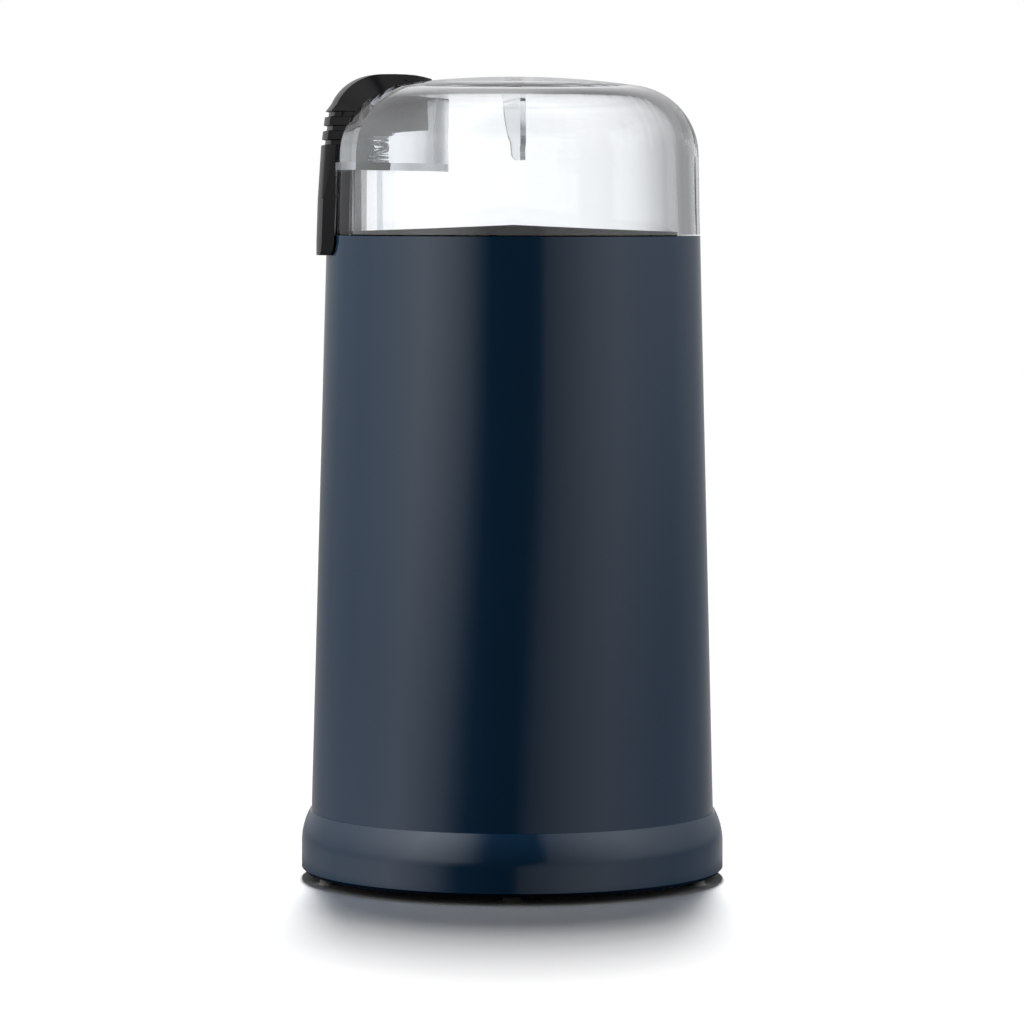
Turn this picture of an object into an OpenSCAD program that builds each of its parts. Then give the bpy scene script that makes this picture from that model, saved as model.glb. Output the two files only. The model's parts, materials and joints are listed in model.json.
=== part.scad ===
// Electric spice grinder: a round navy casing on a wider foot ring, a steel bowl with a
// spinning blade, and a thick clear dome lid that carries the black push button.
// Units are millimetres. Z is up, the origin is the middle of the footprint, and the
// button is on the -X side. Heights are built up from the surface that the feet stand on.

/* [Base] */
// Diameter of the base ring at its foot
base_d = 94.2; // [92:0.1:104]
// Height of the base ring without its feet
base_h = 13.5; // [11:0.1:18]
// Height of the straight lower part of the base ring's side
base_straight = 6.4; // [3:0.1:8]
// Radius of the curve that draws the base ring in to the casing
base_curve_r = 15; // [12:0.5:40]
// Thickness of the base ring's walls and flanges
base_wall = 2.4; // [1.8:0.1:3.2]
// Width of the flange that carries the feet
foot_flange = 13; // [12:0.1:14]
// Height of each rubber foot
foot_h = 1.8; // [1:0.1:4]
// Diameter of each rubber foot
foot_d = 4.6; // [3:0.1:7]
// Number of feet
foot_n = 5; // [3:1:8]
// Distance of the feet from the ring's outer edge
foot_inset = 4.7; // [4:0.1:6]

/* [Casing] */
// Height of the casing above the base ring
casing_h = 128.1; // [124:0.1:150]
// Diameter of the casing at its bottom
casing_d = 89.8; // [89:0.1:91]
// Distance that the casing leans in on each side, from the seam to the deck
casing_taper = 3.4; // [1.4:0.1:4.4]
// Thickness of the casing wall
casing_wall = 2.2; // [1.6:0.1:2.6]
// Thickness of the deck around the bowl
deck_t = 2.2; // [1.6:0.1:3.5]

/* [Bowl] */
// Room on each side from the bowl out to the casing's top edge, for the lid and the switch rod
bowl_room = 8.1; // [7.8:0.1:12]
// Depth of the bowl below the deck
bowl_depth = 37.4; // [30:0.1:40]
// Thickness of the bowl's steel
bowl_t = 0.6; // [0.4:0.05:1.2]
// Width of the bowl's rim that lies on the deck
rim_w = 2.2; // [1.2:0.1:2.4]
// Height of the dark locating collar above the deck
collar_h = 2.5; // [1.6:0.1:4]
// Width of the locating collar
collar_w = 3; // [2.6:0.1:3.2]

/* [Lid] */
// Height of the lid above the deck
lid_h = 35.1; // [32:0.1:42]
// Gap between the lid and the deck
lid_gap = 0.3; // [0.2:0.05:0.6]
// Step of the lid's lower edge inside the casing's edge
lid_step = 0.1; // [0:0.05:0.4]
// Draft of the lid's side, from its lower edge to its shoulder
lid_draft = 0.35; // [0:0.05:0.8]
// Thickness of the lid's side wall
lid_wall = 4.6; // [4:0.1:4.8]
// Radius of the lid's rounded shoulder
shoulder_r = 15.6; // [13:0.1:17]
// Radius of the lid's shallow crown
crown_r = 198; // [150:1:320]
// Radius of the inner corner of the dome
inner_corner_r = 11; // [6:0.1:12]
// Thickness of the dome at its middle
crown_t = 3.3; // [2:0.1:4.5]
// Height of the deflector fin that hangs from the dome
fin_h = 15; // [8:0.1:20]
// Width of the deflector fin at its root
fin_w = 17.5; // [10:0.1:22]
// Thickness of the deflector fin
fin_t = 1.2; // [0.8:0.1:2]
// Turn of the deflector fin from the front to back line
fin_turn = 13; // [0:1:40]

/* [Button] */
// Travel of the push button
press = 3.5; // [2:0.1:3.6]
// Half width of the button where it meets the lid
btn_half = 15; // [12:0.1:17]
// Half width of the crease along the button's shoulder
crease_half = 11.7; // [9:0.1:12]
// Half width of the paddle's face
pad_half = 13.9; // [12.1:0.1:14.4]
// Distance that the paddle hangs below the deck
pad_drop = 4.4; // [1:0.1:8]
// Distance of the paddle's face outside the lid's edge, at its lower end
pad_out = 2.4; // [1.9:0.1:4]
// Radius of the button's knuckle over the shoulder
knuckle_r = 10.8; // [10:0.1:12]
// Reach of the button's tongue from the lid's outer edge towards its middle
tongue_reach = 23.4; // [20:0.1:26]
// Height of the button's crest above the dome
crest_up = 0.3; // [0:0.05:0.8]
// Depth of each finger groove
groove_depth = 0.8; // [0.4:0.1:1.2]
// Width of each finger groove
groove_w = 1.3; // [0.8:0.1:1.8]
// Spacing of the finger grooves
groove_pitch = 3.1; // [2.2:0.1:3.2]
// Number of finger grooves
groove_n = 3; // [1:1:3]
// Radius of the push rod and of the switch rod
rod_r = 1.2; // [1:0.05:1.35]
// Thickness of the clear pocket's walls under the button
pocket_wall = 1.7; // [1:0.1:2]
// Thickness of the pocket's round end, towards the middle of the lid
pocket_end_t = 2.8; // [1.5:0.1:3.5]
// Height of the pocket's floor above the deck
pocket_floor = 16; // [13:0.1:17]
// Outer diameter of the button's return spring
spring_d = 4.8; // [3.6:0.1:5.4]
// Gap around the button in its pocket, and around the lid's collar
move_gap = 0.4; // [0.3:0.05:0.6]

/* [Motor] */
// Length of the laminated field core, along X
core_l = 54; // [50:0.1:56]
// Width of the laminated field core, along Y
core_w = 45; // [43:0.1:48]
// Height of the stack of laminations
core_h = 25; // [20:0.1:26]
// Radius of the armature
armature_r = 15; // [14.4:0.1:15.2]
// Air gap between armature and field
air_gap = 0.5; // [0.35:0.05:0.8]
// Radius of the motor shaft
shaft_r = 2; // [1.6:0.05:2.2]
// Running clearance of the shaft in its bearings
run_gap = 0.03; // [0.02:0.005:0.05]
// Thickness of the motor brackets
bracket_t = 2.5; // [1.5:0.1:3]
// Radius of the commutator
comm_r = 8.5; // [7:0.1:9]
// Height of the commutator
comm_h = 11; // [9.5:0.1:12]
// Number of armature slots and commutator bars
slot_n = 12; // [8:1:14]
// Radius of the cooling fan
fan_r = 26; // [18:0.1:28]
// Height of the cooling fan
fan_h = 6.5; // [4:0.1:8]
// Number of fan blades
fan_n = 11; // [5:1:15]
// Room from the middle of a motor mount out to the inside of the casing
mount_room = 6.85; // [5.8:0.05:8]
// Thickness of the rubber motor mounts under the bracket
mount_t = 4; // [2:0.1:6]
// Width of each carbon brush
brush_w = 4.4; // [3:0.1:5]
// Height of each carbon brush
brush_h = 5.8; // [4:0.1:6.4]
// Length of each carbon brush
brush_l = 8; // [6:0.1:9]
// Wear travel of each carbon brush
brush_travel = 1.5; // [0.5:0.1:2]

/* [Blade] */
// Length of the blade from tip to tip
blade_l = 56; // [40:0.1:60]
// Width of the blade at its root
blade_w = 10; // [7:0.1:13]
// Thickness of the blade
blade_t = 1.2; // [0.8:0.1:1.6]
// Angle of the upturned tips
tip_angle = 28; // [10:1:45]

/* [Switch] */
// Length of the microswitch body, along Y
switch_l = 20; // [18:0.1:22]
// Thickness of the microswitch body, along X
switch_t = 6.4; // [5:0.1:7]
// Height of the microswitch body
switch_h = 10; // [8:0.1:11]
// Distance from the lever's pivot to the rod
lever_arm = 9; // [8:0.1:9.6]
// Angle of the lever at rest
lever_angle = 20.8; // [20:0.1:23]

/* [Cord entry] */
// Radius of the mains cord's bore through the gland
cord_r = 2.6; // [2.2:0.1:2.8]
// Thickness of the rubber gland around the cord
gland_wall = 1.2; // [0.9:0.1:1.3]

/* [Hidden] */
$fn = 96;

// Heights
base_z = foot_h;
seam_z = base_z + base_h;
deck_z = seam_z + casing_h;
top_z = deck_z + lid_h;
cavity_z = deck_z - deck_t;
floor_z = deck_z - bowl_depth;
lid_z = deck_z + lid_gap;

// Radii
base_r = base_d / 2;
casing_r = casing_d / 2;
casing_top_r = casing_r - casing_taper;
bowl_r = casing_top_r - bowl_room;
bowl_in_r = bowl_r - bowl_t;
collar_in_r = bowl_r;
collar_r = collar_in_r + collar_w;
collar_slope = 1.7;
lid_r = casing_top_r - lid_step;
lid_in_r = lid_r - lid_wall;
fit_gap = 0.3;
press_eps = 0.02;
function casing_out(z) = casing_r + (casing_top_r - casing_r) * (z - seam_z) / casing_h;
function casing_in(z) = casing_out(z) - casing_wall;

// Base ring
base_cut = base_h - base_straight;
base_edge = 0.8;
cover_r = base_r - foot_flange + 2.4;
cover_t = 2;
cover_z = base_z + base_wall;
cover_top = cover_z + cover_t;
spigot_h = 2.7;
spigot_r = casing_in(seam_z) - fit_gap;
spigot_in_r = spigot_r - 1.7;
foot_ring_r = base_r - foot_inset;

// Screws that join the base ring to the casing
pillar_n = 3;
pillar_r = 3.8;
pillar_ring_r = casing_in(seam_z) - pillar_r + 0.4;
screw_r = 1.5;
screw_head_r = 2.9;
screw_head_h = 2;
head_pocket_r = screw_head_r + fit_gap;
cover_screw_r = 1.2;
cover_screw_ring = base_r - foot_flange + 0.7;
cover_boss_r = 2.6;
cover_boss_h = 6;
pillar_turn = 18;
cover_screw_turn = 58;

// Motor heights, hung from the underside of the bowl
bush_drop = 4;
fan_gap = 2.6;
fan_top = floor_z - bush_drop - fan_gap;
fan_z = fan_top - fan_h;
up_z = fan_z - 5.2 - bracket_t;
mount_r = casing_in(up_z) - mount_room;
coil_over = 5.4;
core_top = up_z - 8.9;
core_z = core_top - core_h;
comm_z = core_z - 9 - comm_h;
low_z = comm_z - 3.5 - bracket_t;
nut_t = 2.4;
boss_gap = 1.4;
boss_h = low_z - nut_t - boss_gap - seam_z;
low_boss_h = 9.4;
low_boss_z = low_z + bracket_t - low_boss_h + 2;
up_boss_h = 5.6;
boss_r = 8;
bearing_r = 5;
bore_r = armature_r + air_gap;
shaft_z = low_boss_z + 0.6;
hub_z = floor_z + bowl_t + 2.6;
hub_r = 5.2;
hub_h = 2.1;
blade_z = hub_z + hub_h;
nut_h = 3;
shaft_top = blade_z + blade_t + nut_h + 1;

// Field core: bolt places, and the windows that the coils pass through
bolt_x = core_l / 2 - 4;
bolt_y = core_w / 2 - 4.4;
bolt_r = 1.6;
bolt_head_h = 2.4;
post_r = 3.2;
window_y0 = armature_r - 2.7;
window_y1 = core_w / 2 - 4.2;
window_x0 = 9.7;
window_x1 = core_l / 2 - 7.2;
coil_gap = 0.3;
arm_half = 8;
bracket_reach = mount_r + 4;
lug_h = 8;
mount_screw_r = 1.7;
rubber_r = 4.9;
mount_cap_t = 2;

// Brush gear
brush_z = comm_z + comm_h / 2 - 0.6;
brush_gap = 0.3;
brush_y0 = comm_r + brush_gap;
holder_half = brush_w / 2 + 1.6;
holder_y0 = comm_r + 1.6;
holder_end = 1.6;
spring_len = brush_travel + 3.9;
holder_y1 = brush_y0 + brush_l + spring_len + holder_end;
slide_gap = 0.1;

// Lid profile: the shoulder arc touches the crown inside and runs into the drafted side
shoulder_x = lid_r - lid_draft - shoulder_r;
crown_cz = top_z - crown_r;
shoulder_z = crown_cz + sqrt(pow(crown_r - shoulder_r, 2) - shoulder_x * shoulder_x);
touch = crown_r / (crown_r - shoulder_r);
touch_x = shoulder_x * touch;
touch_z = crown_cz + (shoulder_z - crown_cz) * touch;
inner_x = lid_in_r - 0.7 - inner_corner_r;
in_crown_z = top_z - crown_t;
in_crown_cz = in_crown_z - crown_r;
inner_z = in_crown_cz + sqrt(pow(crown_r - inner_corner_r, 2) - inner_x * inner_x);
in_touch = crown_r / (crown_r - inner_corner_r);
in_touch_x = inner_x * in_touch;
in_touch_z = in_crown_cz + (inner_z - in_crown_cz) * in_touch;

// Pocket, rod guide and partition under the button
pocket_z = deck_z + pocket_floor;
pocket_half = btn_half + move_gap;
pocket_x = lid_r - tongue_reach - 0.8;
rod_x = -(lid_r - 3.8);
rod_hole_r = rod_r + fit_gap;
ledge_z = pocket_z;
guide_half = 4.2;
guide_x = -(lid_in_r - 3.2);
guide_z = deck_z + 1;
partition_x = -(lid_in_r - 8);
partition_t = 1.1;

// Button profile, as radius from the lid's axis and height
pad_z = deck_z - pad_drop;
pad_r = lid_r + pad_out;
pad_in_r = casing_out(pad_z - press) + move_gap;
pad_top_z = deck_z + 19.7;
pad_top_r = lid_r + 1.35;
upper_in_r = lid_r + move_gap;
crest_z = top_z + crest_up;
knuckle_x = lid_r - knuckle_r;
knuckle_z = crest_z - knuckle_r;
tongue_r = lid_r - tongue_reach;
nose_c = tongue_r + btn_half;
shell_t = 1.8;
skirt_t = 4.1;
skirt_in = 0.8;
skirt_z = ledge_z + press + fit_gap;
function dome_r(z) = shoulder_x + sqrt(pow(shoulder_r, 2) - pow(z - shoulder_z, 2));
groove_z0 = pad_top_z + 0.75;
rod_end_z = deck_z + 0.8;
switch_rod_top = rod_end_z - fit_gap;
knuckle_steps = 9;

// Spring seat in the pocket
spring_x = -(lid_r - 11.8);
spring_top = pocket_z + 4.6;
spring_wire = 0.5;

// Switch parts, hung below the bowl
switch_top = floor_z - 8;
switch_face = rod_x - 1.5;
switch_x = switch_face + switch_t;
switch_hole_depth = 2.4;
lever_z = switch_top + 0.8;
lever_t = 0.5;
pivot_y = -lever_arm;
lever_len = lever_arm + 8;
plunger_arm = 3;
plunger_y = pivot_y + plunger_arm;
plunger_half = 0.9;
plunger_gap = 0.25;
plunger_top = lever_z + (plunger_arm - plunger_half) * tan(lever_angle)
    - lever_t / 2 / cos(lever_angle) - plunger_gap;
rod_tip = lever_z + (lever_arm + rod_r) * tan(lever_angle) + 0.6;
ledge_spring_z = floor_z + 7;
rod_collar_z = ledge_spring_z + 11;

// Cord entry, at the back of the base
cord_z = base_z + 6.7;
gland_r = cord_r + gland_wall;
gland_in_y = base_r - 6.5;
clamp_y = 31;
clamp_x = 6.8;
clamp_post_r = 2.6;
clamp_t = 2;
clamp_z = cord_z + cord_r + 0.1;

// Ways of the leads, past the pillars and up the casing's wall
lead_r = 0.9;
lead_gap = 1.4;
lead_out_x = clamp_x + clamp_post_r + 6.6;
lead_out_y = clamp_y - 6;
lead_wall_x = spigot_in_r - 5.4;
lead_side_x = pillar_ring_r * cos(pillar_turn) - pillar_r - lead_r - lead_gap;
lead_side_y = pillar_ring_r * sin(pillar_turn);

// Capacitor, on the bottom cover
cap_l = 18;
cap_w = 8;
cap_h = 13;
cap_x = -cover_r + 8.5;
cap_y = -20;

// Shapes that repeat

// Ring between two radii, standing on z
module ring(r_out, r_in, h) {
    difference() {
        cylinder(r = r_out, h = h);
        translate([0, 0, -1]) cylinder(r = r_in, h = h + 2);
    }
}

// Copies its children at n places around Z
module around(n, start, r) {
    for (i = [0:n - 1])
        rotate([0, 0, start + i * 360 / n]) translate([r, 0, 0]) children();
}

// Copies its children into all four quadrants
module four(x, y) {
    for (sx = [-1, 1], sy = [-1, 1]) translate([sx * x, sy * y, 0]) children();
}

// Screw that stands head down on z = 0, with its shank going up
module screw(r, length, head_r, head_h) {
    difference() {
        union() {
            cylinder(r = head_r, h = head_h);
            cylinder(r = r, h = length);
        }
        translate([0, 0, -0.1]) cylinder(r = head_r * 0.5, h = head_h * 0.6, $fn = 6);
    }
}

// Compression spring of n turns, standing on z = 0; its turns are level rings on one upright
module coil(d, wire, length, n) {
    for (i = [0:n - 1])
        translate([0, 0, i * (length - wire) / (n - 1)]) ring(d / 2, d / 2 - wire, wire);
    translate([d / 2 - wire, -wire / 2, 0]) cube([wire * 0.7, wire, length]);
}

// Insulated wire swept along a list of points, with eight sides
module wire(points, r) {
    n = len(points);
    rings = [for (i = [0:n - 1])
        let (step = points[min(i + 1, n - 1)] - points[max(i - 1, 0)],
             along = step / norm(step),
             side = cross(along, [0.3, 0.2, 0.1]),
             u = side / norm(side),
             v = cross(along, u))
        for (k = [0:7]) points[i] + r * (cos(k * 45) * u + sin(k * 45) * v)];
    tube(rings, n, 8, [for (k = [1:6]) [0, k, k + 1]]);
}

// Closed skin over n rings of k points each; end lists the triangles that close a ring
module tube(points, n, k, end) {
    near = [for (i = [0:n - 2], j = [0:k - 1]) [i * k + j, i * k + (j + 1) % k, (i + 1) * k + (j + 1) % k]];
    far = [for (i = [0:n - 2], j = [0:k - 1]) [i * k + j, (i + 1) * k + (j + 1) % k, (i + 1) * k + j]];
    first = [for (t = end) [t[0], t[2], t[1]]];
    last = [for (t = end) [for (j = t) (n - 1) * k + j]];
    polyhedron(points, concat(near, far, first, last));
}

// Steel bracket shared by both ends of the motor: two rails, and a bridge with the bearing
module bracket(bridge) {
    difference() {
        union() {
            for (s = [-1, 1])
                translate([-core_l / 2, s * bolt_y - 3.5, 0]) cube([core_l, 7, bracket_t]);
            translate([-arm_half, -bridge, 0]) cube([arm_half * 2, bridge * 2, bracket_t]);
            children();
        }
        translate([0, 0, -core_h * 2]) cylinder(r = bearing_r, h = core_h * 4);
        translate([0, 0, -core_h * 2]) four(bolt_x, bolt_y) cylinder(r = bolt_r + 0.1, h = core_h * 4);
    }
}

// Casing and base

module housing() {
    color("#16263a") difference() {
        union() {
            difference() {
                translate([0, 0, seam_z]) cylinder(r1 = casing_r, r2 = casing_top_r, h = casing_h);
                translate([0, 0, seam_z - 0.01])
                    cylinder(r1 = casing_in(seam_z), r2 = casing_in(cavity_z), h = casing_h - deck_t + 0.01);
                translate([0, 0, cavity_z - 1]) cylinder(r = bowl_r + fit_gap, h = deck_t + 2);
                translate([rod_x, 0, cavity_z - 1]) cylinder(r = rod_hole_r, h = deck_t + 2);
            }
            housing_inner();
        }
        switch_holes(1.1);
    }
}

// Bosses, motor lugs, switch pad and spring ledge, trimmed to the casing's outside
module housing_inner() {
    intersection() {
        translate([0, 0, seam_z])
            cylinder(r1 = casing_r - casing_wall / 2, r2 = casing_top_r - casing_wall / 2, h = casing_h);
        difference() {
            union() {
                translate([0, 0, seam_z])
                    around(pillar_n, pillar_turn, pillar_ring_r) cylinder(r = pillar_r, h = boss_h);
                for (s = [-1, 1])
                    translate([-7, s > 0 ? mount_r - 5 : -casing_r, up_z - mount_t - lug_h])
                        cube([14, casing_r - mount_r + 5, lug_h]);
                translate([-casing_r, -switch_l / 2 - 1, switch_top - switch_h - 1])
                    cube([casing_r + switch_face, switch_l + 2, switch_h + 1]);
                translate([-casing_r, -3.5, ledge_spring_z - 2]) cube([casing_r + rod_x + 2.4, 7, 2]);
            }
            translate([0, 0, seam_z - 1])
                around(pillar_n, pillar_turn, pillar_ring_r) cylinder(r = screw_r, h = boss_h);
            for (s = [-1, 1])
                translate([0, s * mount_r, up_z - mount_t - lug_h - 1])
                    cylinder(r = mount_screw_r, h = lug_h + 2);
            translate([rod_x, 0, ledge_spring_z - 3]) cylinder(r = rod_hole_r, h = 4);
        }
    }
}

// Two holes through the microswitch and into the pad behind it
module switch_holes(r) {
    for (s = [-1, 1])
        translate([switch_face - switch_hole_depth, s * switch_l / 4, switch_top - switch_h * 0.7])
            rotate([0, 90, 0]) cylinder(r = r, h = switch_hole_depth + switch_t + 3, $fn = 24);
}

module base_ring() {
    color("#16263a") difference() {
        union() {
            difference() {
                base_outer();
                translate([0, 0, base_z + base_wall])
                    cylinder(r = base_r - base_wall - 0.4, h = base_h - base_wall * 2);
                translate([0, 0, base_z - 1]) cylinder(r = base_r - foot_flange, h = base_h);
                translate([0, 0, seam_z - base_wall - 1]) cylinder(r = spigot_in_r, h = base_wall + 2);
            }
            translate([0, 0, seam_z - base_wall]) ring(spigot_r, spigot_in_r, base_wall + spigot_h);
            translate([0, 0, base_z])
                around(pillar_n, pillar_turn, pillar_ring_r) cylinder(r = pillar_r, h = base_h);
            translate([0, 0, cord_z]) rotate([-90, 0, 0])
                translate([0, 0, gland_in_y + 1]) cylinder(r = gland_r + 1.6, h = base_r - gland_in_y - 4);
        }
        // Clearance around the casing's bosses
        translate([0, 0, seam_z])
            around(pillar_n, pillar_turn, pillar_ring_r) cylinder(r = pillar_r + fit_gap, h = spigot_h + 1);
        // Screw holes and head pockets
        translate([0, 0, base_z - 1])
            around(pillar_n, pillar_turn, pillar_ring_r) {
                cylinder(r = screw_r + 0.2, h = base_h + 2);
                cylinder(r = head_pocket_r, h = screw_head_h + 1.6);
            }
        translate([0, 0, base_z - 1])
            around(pillar_n, cover_screw_turn, cover_screw_ring) {
                cylinder(r = cover_screw_r + 0.2, h = base_wall + 2);
                cylinder(r = cover_screw_r * 2 + fit_gap, h = 2.4);
            }
        // Seats for the feet, and the bore for the cord gland
        translate([0, 0, base_z - 1]) around(foot_n, 270, foot_ring_r) cylinder(d = foot_d, h = 1.8);
        translate([0, 0, cord_z]) rotate([-90, 0, 0]) cylinder(r = gland_r, h = base_r + 1);
    }
}

// Outside of the base ring: a straight side with a small lower edge, and a curve to the seam
module base_outer() {
    rotate_extrude() {
        polygon([[0, base_z], [base_r - base_edge, base_z], [base_r, base_z + base_edge],
                 [base_r, base_z + base_straight], [0, base_z + base_straight]]);
        intersection() {
            translate([base_r - base_curve_r, base_z + base_straight]) circle(r = base_curve_r, $fn = 128);
            translate([0, base_z + base_straight - 0.01]) square([base_r + 1, base_cut + 0.01]);
        }
        translate([0, base_z + base_straight - 0.01]) square([base_r - base_curve_r + 0.5, base_cut + 0.01]);
    }
}

module bottom_cover() {
    color("#1b2026") difference() {
        union() {
            translate([0, 0, cover_z]) cylinder(r = cover_r, h = cover_t);
            translate([0, 0, cover_z])
                around(pillar_n, cover_screw_turn, cover_screw_ring)
                    cylinder(r = cover_boss_r, h = cover_t + cover_boss_h);
            for (s = [-1, 1])
                translate([s * clamp_x, clamp_y, cover_z])
                    cylinder(r = clamp_post_r, h = clamp_z - cover_z);
        }
        translate([0, 0, cover_z - 1])
            around(pillar_n, pillar_turn, pillar_ring_r) cylinder(r = pillar_r + fit_gap, h = 20);
        translate([0, 0, cover_z - 1])
            around(pillar_n, cover_screw_turn, cover_screw_ring)
                cylinder(r = cover_screw_r, h = cover_t + cover_boss_h);
        for (s = [-1, 1])
            translate([s * clamp_x, clamp_y, cover_top]) cylinder(r = cover_screw_r, h = 20);
        // Air slots under the motor
        for (i = [0:11])
            rotate([0, 0, 15 + i * 30]) translate([9, -1.2, cover_z - 1]) cube([14, 2.4, cover_t + 2]);
    }
}

module feet() {
    color("#8c8a86") translate([0, 0, 0])
        around(foot_n, 270, foot_ring_r) cylinder(d = foot_d, h = foot_h + 0.8);
}

module base_screws() {
    color("#b9bcc0") translate([0, 0, base_z + 0.6])
        around(pillar_n, pillar_turn, pillar_ring_r)
            screw(screw_r, base_h + boss_h - 2, screw_head_r, screw_head_h);
}

module cover_screws() {
    color("#b9bcc0") translate([0, 0, base_z + 0.1])
        around(pillar_n, cover_screw_turn, cover_screw_ring)
            screw(cover_screw_r, base_wall + cover_t + cover_boss_h - 2, cover_screw_r * 2, 1.3);
}

// Bowl

module bowl() {
    color("#c3c6c9") {
        difference() {
            union() {
                translate([0, 0, floor_z]) cylinder(r = bowl_r, h = bowl_depth);
                translate([0, 0, deck_z]) cylinder(r = bowl_r + rim_w, h = bowl_t);
            }
            translate([0, 0, floor_z + bowl_t]) cylinder(r = bowl_in_r, h = bowl_depth + 1);
            translate([0, 0, floor_z - 1]) cylinder(r = bearing_r, h = 3);
        }
    }
}

// Dark collar that clips over the bowl's rim and centres the lid; its top slopes to the button
module bowl_collar() {
    color("#2a2320") difference() {
        translate([0, 0, deck_z]) ring(collar_r, collar_in_r, collar_h);
        translate([0, 0, deck_z - 1]) cylinder(r = bowl_r + rim_w + 0.1, h = bowl_t + 1);
        for (s = [0, 180])
            rotate([0, 0, s]) translate([0, 0, deck_z + collar_h])
                rotate([0, atan(collar_slope / collar_r), 0])
                    translate([0, -collar_r - 1, 0]) cube([collar_r * 2, collar_r * 2 + 2, collar_h * 2]);
        translate([-collar_r - 2, -guide_half - move_gap, deck_z - 1])
            cube([collar_w + 6, guide_half * 2 + move_gap * 2, collar_h + 2]);
    }
}

module bowl_bush() {
    color("#d8d4c8") difference() {
        union() {
            translate([0, 0, floor_z - bush_drop]) cylinder(r = bearing_r - press_eps, h = bush_drop + 1);
            translate([0, 0, floor_z + bowl_t]) cylinder(r = 7, h = 1.6);
        }
        translate([0, 0, floor_z - bush_drop - 1]) cylinder(r = shaft_r + run_gap, h = 20);
        translate([0, 0, floor_z]) cylinder(r = 4, h = 4);
    }
}

module bush_nut() {
    color("#9a9d9f") translate([0, 0, floor_z - 2.6]) difference() {
        cylinder(r = 8.6, h = 2.6, $fn = 6);
        translate([0, 0, -1]) cylinder(r = bearing_r, h = 5);
    }
}

module shaft_seal() {
    color("#7a2c22") translate([0, 0, floor_z]) ring(4 - press_eps, shaft_r + 0.1, bowl_t + 1.4);
}

// Lid

// Half section of a dome: drafted side, rounded shoulder and shallow crown
module dome_section(r, z0, arc_x, arc_z, arc_r, t_x, t_z, c_z) {
    polygon([[0, z0], [r, z0], [arc_x + arc_r, arc_z], [arc_x, arc_z], [t_x, t_z], [0, t_z]]);
    intersection() {
        translate([arc_x, arc_z]) circle(r = arc_r, $fn = 160);
        translate([0, arc_z - 0.01]) square([r + 5, arc_r + 5]);
    }
    intersection() {
        translate([0, c_z]) circle(r = crown_r, $fn = 256);
        translate([0, t_z - 0.01]) square([t_x, 10]);
    }
}

module lid_outer() {
    rotate_extrude()
        dome_section(lid_r, lid_z, shoulder_x, shoulder_z, shoulder_r, touch_x, touch_z, crown_cz);
}

module lid_inner() {
    rotate_extrude()
        dome_section(lid_in_r, lid_z - 1, inner_x, inner_z, inner_corner_r,
                     in_touch_x, in_touch_z, in_crown_cz);
}

// Plan of the pocket: straight sides and a half round end
module pocket_plan(half, end_x) {
    translate([-lid_r - 5, -half]) square([lid_r + 5 - end_x - half, half * 2]);
    translate([-end_x - half, 0]) circle(r = half, $fn = 96);
}

module lid() {
    color("#d9dde0", 0.45) difference() {
        union() {
            difference() {
                lid_outer();
                lid_inner();
            }
            intersection() {
                lid_outer();
                union() {
                    translate([0, 0, pocket_z - pocket_wall]) linear_extrude(60)
                        pocket_plan(pocket_half + pocket_wall, pocket_x - pocket_end_t);
                    translate([guide_x - 5, -guide_half, guide_z])
                        cube([5, guide_half * 2, pocket_z - guide_z]);
                    translate([partition_x, -pocket_half, guide_z])
                        cube([partition_t, pocket_half * 2, pocket_z - pocket_wall - guide_z + 0.1]);
                    fin();
                }
            }
        }
        // Pocket under the button, and the opening in the dome above it
        intersection() {
            translate([0, 0, pocket_z]) linear_extrude(60) pocket_plan(pocket_half, pocket_x);
            cylinder(r = lid_in_r - 0.6, h = top_z * 2);
        }
        translate([0, 0, ledge_z]) linear_extrude(60) pocket_plan(pocket_half, pocket_x);
        translate([rod_x, 0, lid_z - 1]) cylinder(r = rod_hole_r, h = 60);
    }
}

// Thin sail-shaped plate under the middle of the dome, which turns the grounds back: its front
// edge is upright, and its back edge is an arc that runs down to a point
module fin() {
    fin_r = (fin_h * fin_h + fin_w * fin_w) / fin_w / 2;
    rotate([0, 0, fin_turn]) translate([-fin_t / 2, 0, in_crown_z]) rotate([90, 0, 90])
        linear_extrude(fin_t) intersection() {
            translate([-fin_w / 2, -fin_h]) square([fin_w, fin_h + 1.5]);
            translate([fin_w / 2 - fin_r, 0]) circle(r = fin_r);
        }
}

// Button

// One station of the cap: outer face, shell and skirt, each as [radius, height], and the face's half width
function groove_stations() = [for (i = [0:groove_n - 1], k = [0:3])
    let (z = groove_z0 + i * groove_pitch + [-0.5, -0.35, 0.35, 0.5][k] * groove_w,
         r = pad_top_r - (z - pad_top_z) * 0.13,
         d = (k == 1 || k == 2) ? groove_depth : 0)
    [[r - d, z], [z > skirt_z ? r - groove_depth - 1.1 : upper_in_r, z],
     [z > skirt_z ? dome_r(z) - skirt_in : upper_in_r, z],
     pad_half - (z - pad_top_z) * (pad_half - crease_half) / 12]];

function knuckle_stations() = [for (i = [0:knuckle_steps])
    let (a = 24 + i * 66 / knuckle_steps,
         c = cos(a),
         s = sin(a))
    [[knuckle_x + knuckle_r * c, knuckle_z + knuckle_r * s],
     [knuckle_x + (knuckle_r - shell_t) * c, knuckle_z + (knuckle_r - shell_t) * s],
     [knuckle_x + (knuckle_r - skirt_t) * c, knuckle_z + (knuckle_r - skirt_t) * s], crease_half]];

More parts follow.
